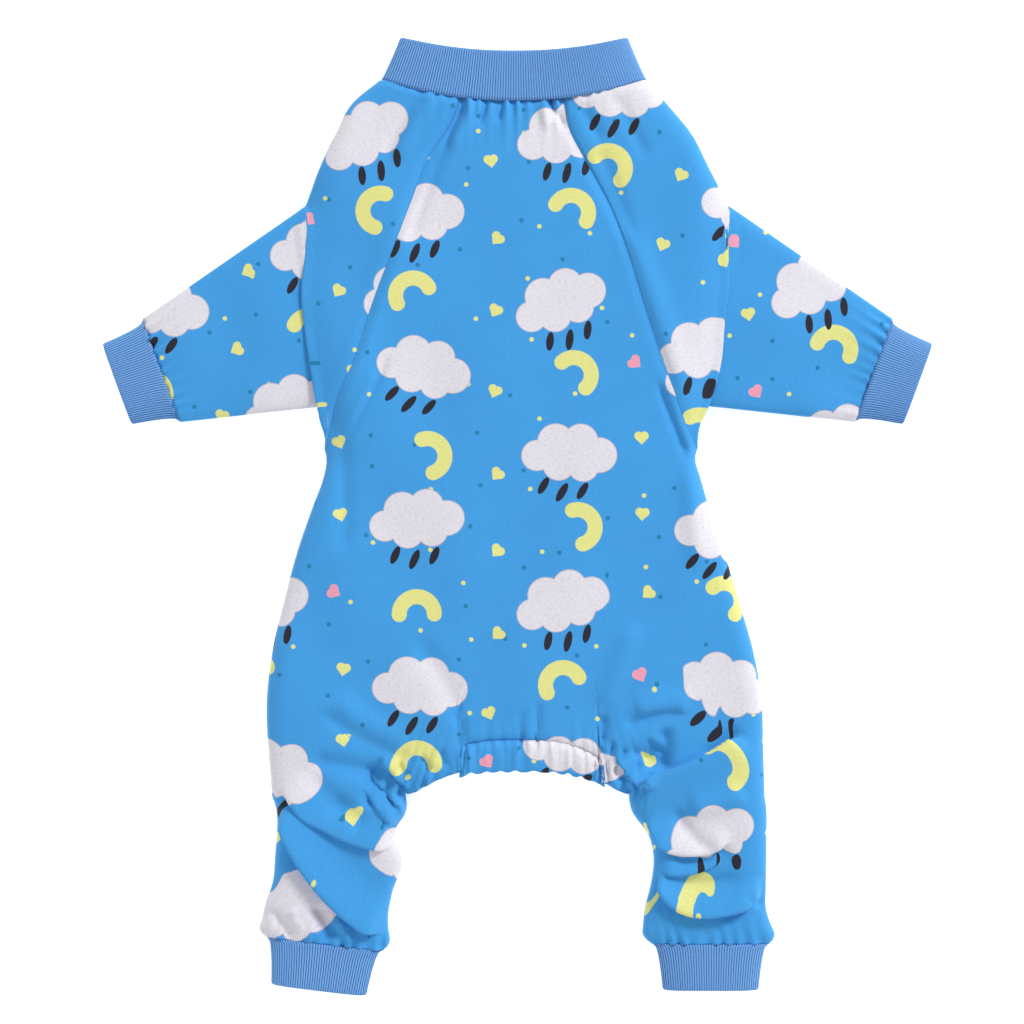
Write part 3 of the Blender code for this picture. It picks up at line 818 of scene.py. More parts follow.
@dataclass
class Panel:
    """Back or belly: the trunk between the raglan seams and one layer of both hind legs."""

    drape: Drape
    name: str
    layer: Layer
    arch: float
    flat: tuple[float, float]
    area: float
    leg_columns: int = 58
    rear_columns: int = 74
    armhole_rows: int = 84
    flank_rows: int = 104
    leg_rows: int = 84
    leg_crowd: float = 0.75
    rear_crowd: float = 0.35
    armhole_crowd: float = 0.5
    elastic_step: float = 0.0010
    seam_ease: float = 0.02
    seam_gap: float = 0.0002
    wall: float = 0.0009

    def shares(self) -> np.ndarray:
        """Places of the columns across the trunk, which crowd at the folds of the legs.

        Returns:
            Shares from the left side fold to the right one.
        """
        cut = self.drape.cut
        leg = spread(self.leg_columns, self.leg_crowd)
        edge = cut.leg_width / cut.hip_width
        rear = lerp(edge, 1.0 - edge, spread(self.rear_columns, self.rear_crowd))
        return np.concatenate([leg * edge, rear[1:-1], 1.0 - leg[::-1] * edge])

    def rear(self, shares: np.ndarray) -> np.ndarray:
        """How far the rear edge arches up over the crotch, with a step up to the elastic's seam.

        Args:
            shares: Places of the columns across the trunk.

        Returns:
            Height of the rear edge over the crotch at each column.
        """
        cut = self.drape.cut
        edge = cut.leg_width / cut.hip_width
        inside = np.clip((shares - edge) / (1.0 - 2.0 * edge), 0.0, 1.0)
        arch = self.arch * (1.0 - np.abs(2.0 * inside - 1.0) ** 3)
        if self.layer is Layer.LOWER:
            return arch
        x = lerp(cut.side_x(Side.LEFT, cut.crotch_y), cut.side_x(Side.RIGHT, cut.crotch_y), shares)
        elastic = self.drape.elastic_share(x, self.elastic_step)
        return arch - (1.0 - elastic) * cut.casing_depth * (arch / self.arch) ** 0.5

    def trunk_plan(self) -> np.ndarray:
        """Plan grid of the trunk.

        Returns:
            Plan points, rows from the collar seam to the rear edge.
        """
        cut = self.drape.cut
        shares = self.shares()
        down = spread(self.armhole_rows, self.armhole_crowd)[:, None]
        left = cut.raglan_line(Side.LEFT, down)
        right = cut.raglan_line(Side.RIGHT, down)
        open_seam = self.seam_gap / 2.0 * smooth((1.0 - down) / self.seam_ease)
        x = lerp(left[..., 0] + open_seam, right[..., 0] - open_seam, shares)
        armhole = np.stack([x, lerp(cut.collar_seam(x), cut.underarm_y, down)], axis=-1)
        down = np.linspace(0.0, 1.0, self.flank_rows + 1)[1:, None]
        level = lerp(cut.underarm_y, cut.crotch_y, down)
        x = lerp(cut.side_x(Side.LEFT, level), cut.side_x(Side.RIGHT, level), shares)
        y = lerp(cut.underarm_y, cut.crotch_y + self.rear(shares), down)
        return np.concatenate([armhole, np.stack([x, y], axis=-1)])

    def make(self, finishes: Sequence[bpy.types.Material]) -> bpy.types.Object:
        """Build the panel and dress it.

        Args:
            finishes: Right side and wrong side of the jersey.

        Returns:
            The finished piece.
        """
        cut = self.drape.cut
        cloth = Cloth(self.name + "_cloth")
        trunk = self.trunk_plan()
        flip = self.layer is Layer.LOWER
        cloth.add_grid(*self.drape.lay(trunk, self.layer), flip=flip)
        for side in Side:
            leg = cut.leg_grid(side, self.leg_rows, spread(self.leg_columns, self.leg_crowd))
            if side is Side.RIGHT:
                leg = leg[:, ::-1]
                leg[0] = trunk[-1, -self.leg_columns - 1:]
            else:
                leg[0] = trunk[-1, :self.leg_columns + 1]
            cloth.add_grid(*self.drape.lay(leg, self.layer), flip=flip)
        piece = cloth.finish(self.wall, finishes)
        declare(piece)
        return piece


@dataclass
class Sleeve:
    """Raglan sleeve: its tube from the cuff seam, the pleat, and the cap over the shoulder."""

    drape: Drape
    side: Side
    across_steps: int = 76
    tube_steps: int = 46
    pleat_steps: int = 20
    cap_steps: int = 44
    across_crowd: float = 0.85
    pleat_turn: float = 0.0060
    pleat_room: float = 0.45
    pleat_ease: float = 0.12
    turn_gain: float = 5.2
    tube_power: float = 4.0
    corner_share: float = 0.62
    seam_gap: float = 0.0002
    cuff_gather: float = 0.0028
    cuff_pitch: float = 0.0062
    cuff_fade: float = 0.0080
    slack: float = 0.0009
    slack_wave: float = 0.0380
    seeds: tuple[int, int] = (41, 47)
    wall: float = 0.0009
    print_shift: tuple[float, float] = (0.0270, -0.0310)
    print_turn: float = math.radians(14.0)

    def print_place(self, uv: np.ndarray) -> np.ndarray:
        """Places on the sleeve's own cloth, whose print doesn't match the back's at the raglan seam.

        Args:
            uv: Places as the sleeve lies in plan.

        Returns:
            Places on the sleeve's cloth, as it was cut.
        """
        angle = self.side.value * self.print_turn
        turn = np.array([[math.cos(angle), math.sin(angle)], [-math.sin(angle), math.cos(angle)]])
        return uv @ turn + self.side.value * np.array(self.print_shift)

    def corners(self) -> tuple[np.ndarray, np.ndarray, np.ndarray, np.ndarray]:
        """Lines of the sleeve in plan.

        Returns:
            Shares across the sleeve, the cuff seam, the root line, and the seam's middle.
        """
        cut = self.drape.cut
        sign = self.side.value
        across = spread(self.across_steps, self.across_crowd)
        shoulder = cut.cap_edge(self.side, 0.0)
        reach = np.array([-sign * math.sin(cut.root_tilt), -math.cos(cut.root_tilt)])
        root_end = shoulder + cut.sleeve_root * reach
        axis = np.array([sign * math.cos(cut.sleeve_slope), -math.sin(cut.sleeve_slope)])
        middle = (shoulder + root_end) / 2.0 + cut.sleeve_length * axis
        root = lerp(shoulder, root_end, across[:, None])
        seam = middle + (across[:, None] - 0.5) * cut.front_cuff_seam * self.seam_direction()
        return across, seam, root, middle

    def seam_direction(self) -> np.ndarray:
        """Unit step down the cuff seam in plan."""
        tilt = self.drape.cut.cuff_seam_tilt
        return np.array([-self.side.value * math.sin(tilt), -math.cos(tilt)])

    def height(self, fullness: Amount, level: Amount, edge: Amount, layer: Layer) -> Amount:
        """Height of one layer of the tube over the floor."""
        upper = lerp(edge, level, fullness) if layer is Layer.UPPER else edge * (1.0 - fullness)
        return upper + self.drape.cut.floor_gap

    def plan(self, layer: Layer) -> tuple[np.ndarray, np.ndarray]:
        """One layer of the sleeve.

        Args:
            layer: Upper or lower.

        Returns:
            Points in space and their places on the flat cloth, by steps across and along.
        """
        cut = self.drape.cut
        inward = np.array([-self.side.value, 0.0])
        across, seam, root, _ = self.corners()
        folded = cut.cap_edge(self.side, across)
        raglan = cut.raglan_line(self.side, across)
        raglan[:-1, 0] += self.side.value * self.seam_gap / 2.0
        room = np.linalg.norm(raglan - folded, axis=-1)
        turn = self.pleat_turn * smooth(across / self.pleat_ease)
        turn = np.minimum(turn, self.pleat_room * room)[:, None]
        start, end = root - turn * inward, folded + turn * inward
        overlap = ((root - folded) @ inward)[:, None]
        span = ((end - start) @ inward)[:, None]
        fade = smooth((1.0 - across) / self.pleat_ease)[:, None]
        thrown = self.turn_gain * overlap * fade if layer is Layer.UPPER else 0.0
        pull = (span + thrown) * inward
        fullness = (1.0 - np.abs(2.0 * across - 1.0) ** self.tube_power) ** (1.0 / self.tube_power)
        shoulder = self.drape.lay(folded[:1], Layer.UPPER, laps=False)[0][0, 2] - cut.floor_gap
        root_edge = lerp(shoulder, cut.sleeve_loft / 2.0, smooth(across))
        start_z = self.height(fullness, cut.sleeve_loft, root_edge, layer)
        seam_z = self.height(fullness, cut.front_cuff_loft, cut.front_cuff_loft / 2.0, layer)
        end_z = self.drape.lay(end, layer, laps=False)[0][:, 2]
        points, places = [], []
        for share in np.linspace(0.0, 1.0, self.tube_steps + 1)[:-1]:
            flat = lerp(seam, start, share)
            z = lerp(seam_z, start_z, smooth(share))
            places.append(self.turned(flat + self.turned_away(flat, z)))
            if layer is Layer.UPPER:
                z = z + self.tube_relief(flat, share, across) * fullness
            points.append(np.concatenate([flat, z[:, None]], axis=-1))
        start_place = self.turned(start + self.turned_away(start, start_z))
        for share in np.linspace(0.0, 1.0, self.pleat_steps + 1)[:-1]:
            bend = (share - 3.0 * share ** 2 + 2.0 * share ** 3) * pull
            flat = lerp(start, end, smooth(share))
            z = lerp(start_z, end_z, smooth(share))
            points.append(np.concatenate([flat + bend, z[:, None]], axis=-1))
            places.append(lerp(start_place, end, smooth(share)))
        for flat in self.cap_plan(across, end, raglan):
            laid, uv = self.drape.lay(flat, layer, laps=False)
            points.append(laid)
            places.append(uv)
        return np.stack(points, axis=1), self.print_place(np.stack(places, axis=1))

    def tube_relief(self, flat: np.ndarray, share: float, across: np.ndarray) -> np.ndarray:
        """Gathers at the cuff seam and the slack of the sleeve.

        Args:
            flat: Plan points of one step along the tube.
            share: 0 at the cuff seam, 1 at the pleat.
            across: Shares across the sleeve, 0 at its upper edge.

        Returns:
            Heights to add.
        """
        cut = self.drape.cut
        along = share * cut.sleeve_length
        seed = self.seeds[0] if self.side is Side.LEFT else self.seeds[1]
        strong = 0.45 + 0.75 * smooth((0.62 - across) / 0.4)
        ripple = gathers(across * cut.front_cuff_seam, self.cuff_pitch, seed)
        ripple = ripple * math.exp(-along / self.cuff_fade) - 0.2
        return self.cuff_gather * strong * ripple + self.slack * sway(flat, self.slack_wave, seed)

    def turned_away(self, flat: np.ndarray, z: np.ndarray) -> np.ndarray:
        """Steps across the tube that give its print the length of cloth at both folded edges.

        Args:
            flat: Plan points from the upper edge to the lower one.
            z: Their heights.

        Returns:
            Steps to add to the places on the cloth.
        """
        run = np.diff(flat, axis=0)
        plan = np.linalg.norm(run, axis=-1)
        hidden = np.append(0.0, np.cumsum(np.hypot(plan, np.diff(z)) - plan))
        return (hidden - hidden[len(hidden) // 2])[:, None] * (flat[-1] - flat[0]) / plan.sum()

    def turned(self, flat: np.ndarray) -> np.ndarray:
        """Places on the cloth of the tube, whose print is turned with the sleeve and eaten by the pleat.

        Args:
            flat: Plan points of the tube.

        Returns:
            Their places on the cloth.
        """
        cut = self.drape.cut
        angle = -self.side.value * cut.sleeve_slope
        pivot = cut.cap_edge(self.side, 0.5)
        turn = np.array([[math.cos(angle), math.sin(angle)], [-math.sin(angle), math.cos(angle)]])
        eaten = np.array([self.side.value * 4.0 * self.pleat_turn, 0.0])
        return (flat - pivot) @ turn + pivot + eaten

    def cap_plan(self, across: np.ndarray, end: np.ndarray, raglan: np.ndarray) -> list[np.ndarray]:
        """The cap as a patch between its folded edge, the shoulder line, the collar and the raglan seam.

        Args:
            across: Shares down the sleeve's root.
            end: Plan points where the pleat ends, near the folded edge.
            raglan: Plan points of the raglan seam.

        Returns:
            Columns of plan points from the folded edge to the raglan seam.
        """
        cut = self.drape.cut
        tip = raglan[-1]
        corner = cut.neck_corner(self.side)
        columns = []
        for share in np.linspace(0.0, 1.0, self.cap_steps + 1):
            if share <= self.corner_share:
                top = cut.shoulder_line(self.side, 1.0 - share / self.corner_share)
            else:
                x = lerp(corner[0], raglan[0, 0], (share - self.corner_share) / (1.0 - self.corner_share))
                top = np.array([x, cut.collar_seam(x)])
            down = across[:, None]
            sides = lerp(end, raglan, share)
            columns.append(lerp(top, tip, down) + sides - lerp(lerp(end[0], raglan[0], share), tip, down))
        return columns

    def make(self, finishes: Sequence[bpy.types.Material]) -> bpy.types.Object:
        """Build the sleeve and dress it.

        Args:
            finishes: Right side and wrong side of the jersey.

        Returns:
            The finished piece.
        """
        cloth = Cloth(self.side.word + "_sleeve_cloth")
        left = self.side is Side.LEFT
        cloth.add_grid(*self.plan(Layer.UPPER), flip=left is False)
        cloth.add_grid(*self.plan(Layer.LOWER), flip=left)
        piece = cloth.finish(self.wall, finishes)
        declare(piece)
        return piece


@dataclass
class RibBand:
    """Ribbed band, folded double: a flattened ring whose wall turns over at its outer edge."""

    name: str
    seam: tuple[np.ndarray, np.ndarray]
    top: tuple[np.ndarray, np.ndarray]
    height: float
    flat: tuple[float, float]
    ease: float = 1.0
    rib_pitch: float = RIB_PITCH_MM * MM
    rib_rise: float = 0.34 * MM
    rib_power: float = 0.8
    rib_sink: float = 0.6
    rib_steps: int = 6
    section_steps: int = 720
    section_powers: tuple[float, float] = (0.52, 0.833)
    rows: int = 12
    wall: float = 0.0022
    bow: Optional[Callable[[np.ndarray, float], np.ndarray]] = None

    def section(self, place: float, inset: float, ribs: int, crest: float) -> np.ndarray:
        """Closed section of the band.

        Args:
            place: 0 at the seam, 1 at the outer edge.
            inset: How far inside the outer face.
            ribs: Number of ribs round the band.
            crest: Share of the full rib height.

        Returns:
            Points in space, the first one repeated at the end.
        """
        side = place ** self.ease if place < 1.0 else place
        start = self.edge_at(0, place, side)
        end = self.edge_at(1, place, side)
        run = end - start
        width = np.linalg.norm(run)
        turn = np.linspace(0.0, 2.0 * math.pi, self.section_steps + 1)
        blunt, round_over = self.section_powers
        reach = np.abs(np.cos(turn)) ** blunt * np.sign(np.cos(turn)) * (width / 2.0 - inset)
        lift = np.abs(np.sin(turn)) ** round_over * np.sign(np.sin(turn)) * (self.height / 2.0 - inset)
        length = np.concatenate([[0.0], np.cumsum(np.hypot(np.diff(reach), np.diff(lift)))])
        even = np.linspace(0.0, length[-1], ribs * self.rib_steps + 1)
        reach, lift = np.interp(even, length, reach), np.interp(even, length, lift)
        out = np.stack([np.gradient(lift), -np.gradient(reach)], axis=-1)
        out /= np.linalg.norm(out, axis=-1)[:, None]
        phase = np.arange(len(even)) / self.rib_steps * 2.0 * math.pi
        swell = self.rib_rise * crest * (np.abs(np.cos(phase / 2.0)) ** self.rib_power - self.rib_sink)
        reach, lift = reach + out[:, 0] * swell, lift + out[:, 1] * swell
        plan = (start + end) / 2.0 - (reach / width)[:, None] * run
        if self.bow:
            plan = self.bow(plan, place)
        points = np.concatenate([plan, (lift + self.height / 2.0)[:, None]], axis=-1)
        points[-1] = points[0]
        return points

    def edge_at(self, end: int, place: float, narrowed: float) -> np.ndarray:
        """Plan point of one side of the band, which narrows faster than it goes down.

        Args:
            end: 0 for the left side, 1 for the right one.
            place: 0 at the seam, 1 at the outer edge.
            narrowed: How much of the narrowing is done at that place.

        Returns:
            The plan point.
        """
        other = 1 - end
        middle = lerp(self.seam[end] + self.seam[other], self.top[end] + self.top[other], place) / 2.0
        seam_half = (self.seam[end] - self.seam[other]) / 2.0
        top_half = (self.top[end] - self.top[other]) / 2.0
        return middle + lerp(seam_half, top_half, narrowed)

    def make(self, finish: bpy.types.Material) -> bpy.types.Object:
        """Build the band and dress it.

        Args:
            finish: The ribbed knit.

        Returns:
            The finished piece.
        """
        width = np.linalg.norm(self.seam[1] - self.seam[0])
        depth = np.linalg.norm((self.top[0] + self.top[1] - self.seam[0] - self.seam[1]) / 2.0)
        ribs = int(round(2.0 * width / self.rib_pitch))
        edge = self.wall / 2.0 / depth
        rings = [(place, 0.0, 1.0) for place in np.linspace(0.0, 1.0 - edge, self.rows + 1)]
        for turn in np.linspace(0.0, math.pi, 8)[1:-1]:
            rings.append((1.0 - edge + edge * math.sin(turn), self.wall / 2.0 * (1.0 - math.cos(turn)), 1.0))
        rings += [(place, self.wall, 0.5) for place in np.linspace(1.0 - edge, 0.0, self.rows // 2 + 1)]
        points = np.stack([self.section(place, inset, ribs, crest) for place, inset, crest in rings])
        around = np.linspace(0.0, 2.0 * width, points.shape[1])
        down = np.array([place * depth + inset for place, inset, _ in rings])
        uv = np.stack(np.broadcast_arrays(around[None, :], down[:, None]), axis=-1)
        cloth = Cloth(self.name + "_cloth")
        cloth.add_grid(points, uv, closed=True, flip=True)
        piece = cloth.finish(0.0, [finish])
        declare(piece)
        return piece


@dataclass
class RumpCasing:
    """Gathered elastic casing along the rear edge of the back."""

    drape: Drape
    columns: int = 260
    outer_rows: int = 12
    turn_steps: int = 6
    turn_share: float = 0.16
    thickness: float = 0.0026
    puff: float = 0.0008
    gather: float = 0.0015
    pitch: float = 0.0088
    calm_middle: float = 0.0080
    calm_half: float = 0.0160
    calm_ease: float = 0.0180
    seam_overlap: float = 0.0001
    end_reach: float = 0.0018
    end_drop: float = 0.0016
    print_drop: float = 0.0120

    def make(self, finish: bpy.types.Material) -> bpy.types.Object:
        """Build the casing and dress it.

        Args:
            finish: The jersey, whose right side shows all round.

        Returns:
            The finished piece.
        """
        cut = self.drape.cut
        ends = cut.elastic_left - self.end_reach, cut.elastic_right + self.end_reach
        x = np.linspace(*ends, self.columns + 1)
        left, right = cut.side_x(Side.LEFT, cut.crotch_y), cut.side_x(Side.RIGHT, cut.crotch_y)
        edge = cut.leg_width / cut.hip_width
        inside = ((x - left) / (right - left) - edge) / (1.0 - 2.0 * edge)
        arch = cut.rear_arch * (1.0 - np.abs(2.0 * inside - 1.0) ** 3)
        depth = cut.casing_depth * (arch / cut.rear_arch) ** 0.5
        strong = 0.6 + 0.6 * smooth((np.abs(x - self.calm_middle) - self.calm_half) / self.calm_ease)
        tucked = 1.0 - smooth(np.minimum(x - x[0], x[-1] - x) / (1.6 * self.end_reach))
        ripple = gathers(x, self.pitch, 57) * strong
        loops, places = [], []
        half = self.thickness / 2.0
        around = [(place, 1.0) for place in np.linspace(0.0, 1.0, self.outer_rows + 1)]
        for turn in np.linspace(0.0, math.pi, self.turn_steps + 1)[1:-1]:
            around.append((1.0 + self.turn_share * math.sin(turn), math.cos(turn)))
        around += [(place, -1.0) for place in np.linspace(1.0, 0.0, self.outer_rows // 2 + 1)]
        for place, face in around:
            under = 1.5 * self.end_drop * tucked * (1.0 - place)
            y = cut.crotch_y + arch - self.seam_overlap + under - depth * place * (1.0 - 0.12 * ripple)
            laid, uv = self.drape.lay(np.stack([x, y], axis=-1), Layer.UPPER)
            waist = smooth(place / 0.18) * 0.75 + 0.25
            swell = self.puff * math.sin(math.pi * min(place, 1.0)) + self.gather * ripple * waist
            shown = 1.0 if face > 0.0 else 0.3
            laid[:, 2] += half * face * waist + shown * swell - self.end_drop * tucked
            loops.append(laid)
            places.append(uv - np.array([0.0, self.print_drop]))
        cloth = Cloth("rump_casing_cloth")
        points, uvs = np.stack(loops), np.stack(places)
        cloth.add_grid(points, uvs, closed=True)
        mesh = cloth.mesh
        mesh.verts.ensure_lookup_table()
        for column in (0, self.columns):
            mesh.faces.new([mesh.verts[row * (self.columns + 1) + column] for row in range(len(loops))])
        bmesh.ops.recalc_face_normals(mesh, faces=mesh.faces)
        piece = cloth.finish(0.0, [finish])
        declare(piece)
        return piece


# Materials
def linear(hex_colour: str) -> tuple[float, float, float, float]:
    """Turn an sRGB hex colour into linear light.

    Args:
        hex_colour: Six hex digits after a hash.

    Returns:
        Linear red, green, blue and alpha.
    """
    channels = [int(hex_colour[index:index + 2], 16) / 255.0 for index in (1, 3, 5)]
    light = [c / 12.92 if c <= 0.04045 else ((c + 0.055) / 1.055) ** 2.4 for c in channels]
    return (*light, 1.0)


class Nodes:
    """The node sheet of one material."""

    def __init__(self, name: str) -> None:
        """Start a material with its Principled shader.

        Args:
            name: Name of the material.
        """
        self.material = bpy.data.materials.new(name)
        self.material.use_nodes = True
        self.tree = self.material.node_tree
        self.shader = self.tree.nodes["Principled BSDF"]

    def add(self, kind: str, *values: Optional[Value], out: int = 0, **settings: Union[str, float]) -> Socket:
        """Add a node with its settings and links.

        Args:
            kind: Blender's name of the node.
            *values: A value, a socket or None for each input in order.
            out: Which output to give back.
            **settings: Properties of the node.

        Returns:
            The chosen output socket.
        """
        node = self.tree.nodes.new(kind)
        for name, value in settings.items():
            setattr(node, name, value)
        for socket, value in zip(node.inputs, values):
            if isinstance(value, Socket):
                self.tree.links.new(value, socket)
            elif value is not None:
                socket.default_value = value
        return node.outputs[out]

    def set(self, name: str, value: Value) -> None:
        """Give the shader's own socket a value or a link.

        Args:
            name: Name of the shader's input.
            value: A value or a socket.
        """
        if isinstance(value, Socket):
            self.tree.links.new(value, self.shader.inputs[name])
        else:
            self.shader.inputs[name].default_value = value


@dataclass(frozen=True)
class Lattice:
    """How one motif repeats: columns that drop by half a step, each copy nudged and turned.

    Sizes are in millimetres on the flat cloth.
    """

    column: float
    row: float
    shift: tuple[float, float]
    nudge: float
    turn: float
    seed: float

    def place(self, nodes: Nodes, cloth: Socket) -> tuple[Socket, Socket]:
        """Find the copy that a point of the cloth belongs to.

        Args:
            nodes: The node sheet.
            cloth: Socket of the place on the cloth in millimetres.

        Returns:
            Sockets of the place relative to the copy's middle, and of a random value for the copy.
        """
        moved = nodes.add(VECTOR, cloth, (*self.shift, 0.0), operation="ADD")
        x = nodes.add("ShaderNodeSeparateXYZ", moved)
        y = x.node.outputs[1]
        column = nodes.add(MATH, nodes.add(MATH, x, self.column, operation="DIVIDE"), operation="FLOOR")
        odd = nodes.add(MATH, column, 2.0, operation="FLOORED_MODULO")
        dropped = nodes.add(MATH, odd, self.row / 2.0, y, operation="MULTIPLY_ADD")
        row = nodes.add(MATH, nodes.add(MATH, dropped, self.row, operation="DIVIDE"), operation="FLOOR")
        cell = nodes.add("ShaderNodeCombineXYZ", column, row, self.seed)
        dice = nodes.add("ShaderNodeTexWhiteNoise", cell, out=1, noise_dimensions="3D")
        value = dice.node.outputs[0]
        corner = nodes.add("ShaderNodeCombineXYZ", x, dropped, 0.0)
        start = nodes.add(VECTOR, cell, (self.column, self.row, 0.0), operation="MULTIPLY")
        local = nodes.add(VECTOR, corner, start, operation="SUBTRACT")
        centre = nodes.add(VECTOR, dice, (self.nudge, self.nudge, 0.0), operation="MULTIPLY")
        base = ((self.column - self.nudge) / 2.0, (self.row - self.nudge) / 2.0, 0.0)
        centre = nodes.add(VECTOR, centre, base, operation="ADD")
        local = nodes.add(VECTOR, local, centre, operation="SUBTRACT")
        angle = nodes.add(MATH, value, 0.5, operation="SUBTRACT")
        angle = nodes.add(MATH, angle, self.turn, operation="MULTIPLY")
        turned = nodes.add("ShaderNodeVectorRotate", local, None, None, angle, rotation_type="Z_AXIS")
        return turned, value


class Motif(NamedTuple):
    """Discs of a motif: middle across, middle up and radius in millimetres."""

    across: float
    up: float
    radius: float


@dataclass(frozen=True)
class PrintedJersey:
    """Light cotton jersey, knitted and printed: matt, soft, with a fine vertical grain.

    The print is a plain sky pattern: clouds with rain, arches, hearts and dots.
    """

    name: str = "printed_cotton_jersey"
    ground: str = "#3F9BDF"
    cloud: str = "#DFDCE4"
    cloud_edge: str = "#BFB4C2"
    cloud_shade: str = "#D3D0D9"
    rain: str = "#25232F"
    blush: str = "#EE9DB4"
    yellow: str = "#E0E08C"
    teal: str = "#1F7FAE"
    roughness: float = 0.86
    wale_mm: float = 1.1
    heart_lobe: float = 2.3
    arch_radius: float = 9.6
    arch_half_band: float = 4.1
    drop_half_width: float = 2.1
    drop_lean: float = math.radians(-24.0)
    dot_radius: float = 1.25
    edge_half: float = 0.12
    cloud_outline: float = 0.45
    cloud_rim: float = 0.9
    teal_share: float = 0.72
    yellow_share: float = 0.62
    blush_share: float = 0.3
    wrong_side: bool = False
    wrong_pale: str = "#8FBFE6"
    wrong_fade: float = 0.72
    clouds: Lattice = Lattice(82.0, 86.0, (14.0, 9.0), 10.0, 0.9, 1.0)
    arches: Lattice = Lattice(82.0, 86.0, (14.0, 52.0), 12.0, 2.6, 2.0)
    hearts: Lattice = Lattice(82.0, 43.0, (-27.0, 22.0), 8.0, 2.2, 3.0)
    yellow_dots: Lattice = Lattice(31.0, 37.0, (3.0, 6.0), 24.0, 0.0, 4.0)
    teal_dots: Lattice = Lattice(27.0, 33.0, (11.0, 17.0), 20.0, 0.0, 5.0)
    puffs: tuple[Motif, ...] = (
        Motif(-17.5, -2.5, 8.6), Motif(-8.0, 6.0, 10.2), Motif(5.5, 8.0, 9.6), Motif(16.5, 1.5, 9.8),
        Motif(8.5, -5.5, 8.6), Motif(-5.0, -6.0, 9.0), Motif(0.0, 1.0, 9.5),
    )
    drops: tuple[Motif, ...] = (
        Motif(-12.0, -18.5, 5.2), Motif(-1.5, -21.0, 5.8), Motif(9.5, -19.0, 5.2),
    )

    def edge(self, nodes: Nodes, distance: Socket) -> Socket:
        """Turn a distance from an outline into a crisp mask."""
        return nodes.add("ShaderNodeMapRange", distance, self.edge_half, -self.edge_half, 0.0, 1.0)

    def discs(self, nodes: Nodes, local: Socket, motifs: Sequence[Motif]) -> Socket:
        """Distance from the outline of several discs together.

        Args:
            nodes: The node sheet.
            local: Socket of the place from the copy's middle.
            motifs: The discs.

        Returns:
            Socket of the distance, below 0 inside.
        """
        total = None
        for motif in motifs:
            middle = (motif.across, motif.up, 0.0)
            away = nodes.add(VECTOR, local, middle, out=1, operation="DISTANCE")
            away = nodes.add(MATH, away, motif.radius, operation="SUBTRACT")
            total = away if total is None else nodes.add(MATH, total, away, operation="MINIMUM")
        return total

    def rain_mask(self, nodes: Nodes, local: Socket) -> Socket:
        """Mask of the slanting drops below a cloud.

        Args:
            nodes: The node sheet.
            local: Socket of the place from the cloud's middle.

        Returns:
            Socket of the mask.
        """
        total = None
        for drop in self.drops:
            placed = nodes.add(
                "ShaderNodeMapping", local, (drop.across, drop.up, 0.0), (0.0, 0.0, self.drop_lean),
                (self.drop_half_width, drop.radius, 1.0), vector_type="TEXTURE")
            away = nodes.add(VECTOR, placed, out=1, operation="LENGTH")
            total = away if total is None else nodes.add(MATH, total, away, operation="MINIMUM")
        return nodes.add("ShaderNodeMapRange", total, 1.04, 0.96, 0.0, 1.0)

    def arch_mask(self, nodes: Nodes, local: Socket) -> Socket:
        """Mask of a half ring with round ends.

        Args:
            nodes: The node sheet.
            local: Socket of the place from the ring's middle.

        Returns:
            Socket of the mask.
        """
        radius, half_band = self.arch_radius, self.arch_half_band
        y = nodes.add("ShaderNodeSeparateXYZ", local).node.outputs[1]
        away = nodes.add(VECTOR, local, out=1, operation="LENGTH")
        away = nodes.add(MATH, away, radius, operation="SUBTRACT")
        away = nodes.add(MATH, away, operation="ABSOLUTE")
        ring = nodes.add(MATH, away, half_band, operation="SUBTRACT")
        below = nodes.add(MATH, y, -1.0, operation="MULTIPLY")
        ring = nodes.add(MATH, ring, below, operation="MAXIMUM")
        ends = self.discs(nodes, local, (Motif(-radius, 0.0, half_band), Motif(radius, 0.0, half_band)))
        return self.edge(nodes, nodes.add(MATH, ring, ends, operation="MINIMUM"))

    def heart_mask(self, nodes: Nodes, local: Socket) -> Socket:
        """Mask of a small heart: a square on its corner with a disc on each upper side.

        Args:
            nodes: The node sheet.
            local: Socket of the place from the square's middle.

        Returns:
            Socket of the mask.
        """
        parts = nodes.add("ShaderNodeSeparateXYZ", local)
        x = nodes.add(MATH, parts, operation="ABSOLUTE")
        y = parts.node.outputs[1]
        lobe = nodes.add("ShaderNodeCombineXYZ", x, y, 0.0)
        offset = self.heart_lobe * math.sqrt(0.5)
        lobes = self.discs(nodes, lobe, (Motif(offset, offset, self.heart_lobe),))
        slope = nodes.add(MATH, x, nodes.add(MATH, y, operation="ABSOLUTE"), operation="ADD")
        point = nodes.add(MATH, slope, 2.0 * offset, operation="SUBTRACT")
        return self.edge(nodes, nodes.add(MATH, lobes, point, operation="MINIMUM"))

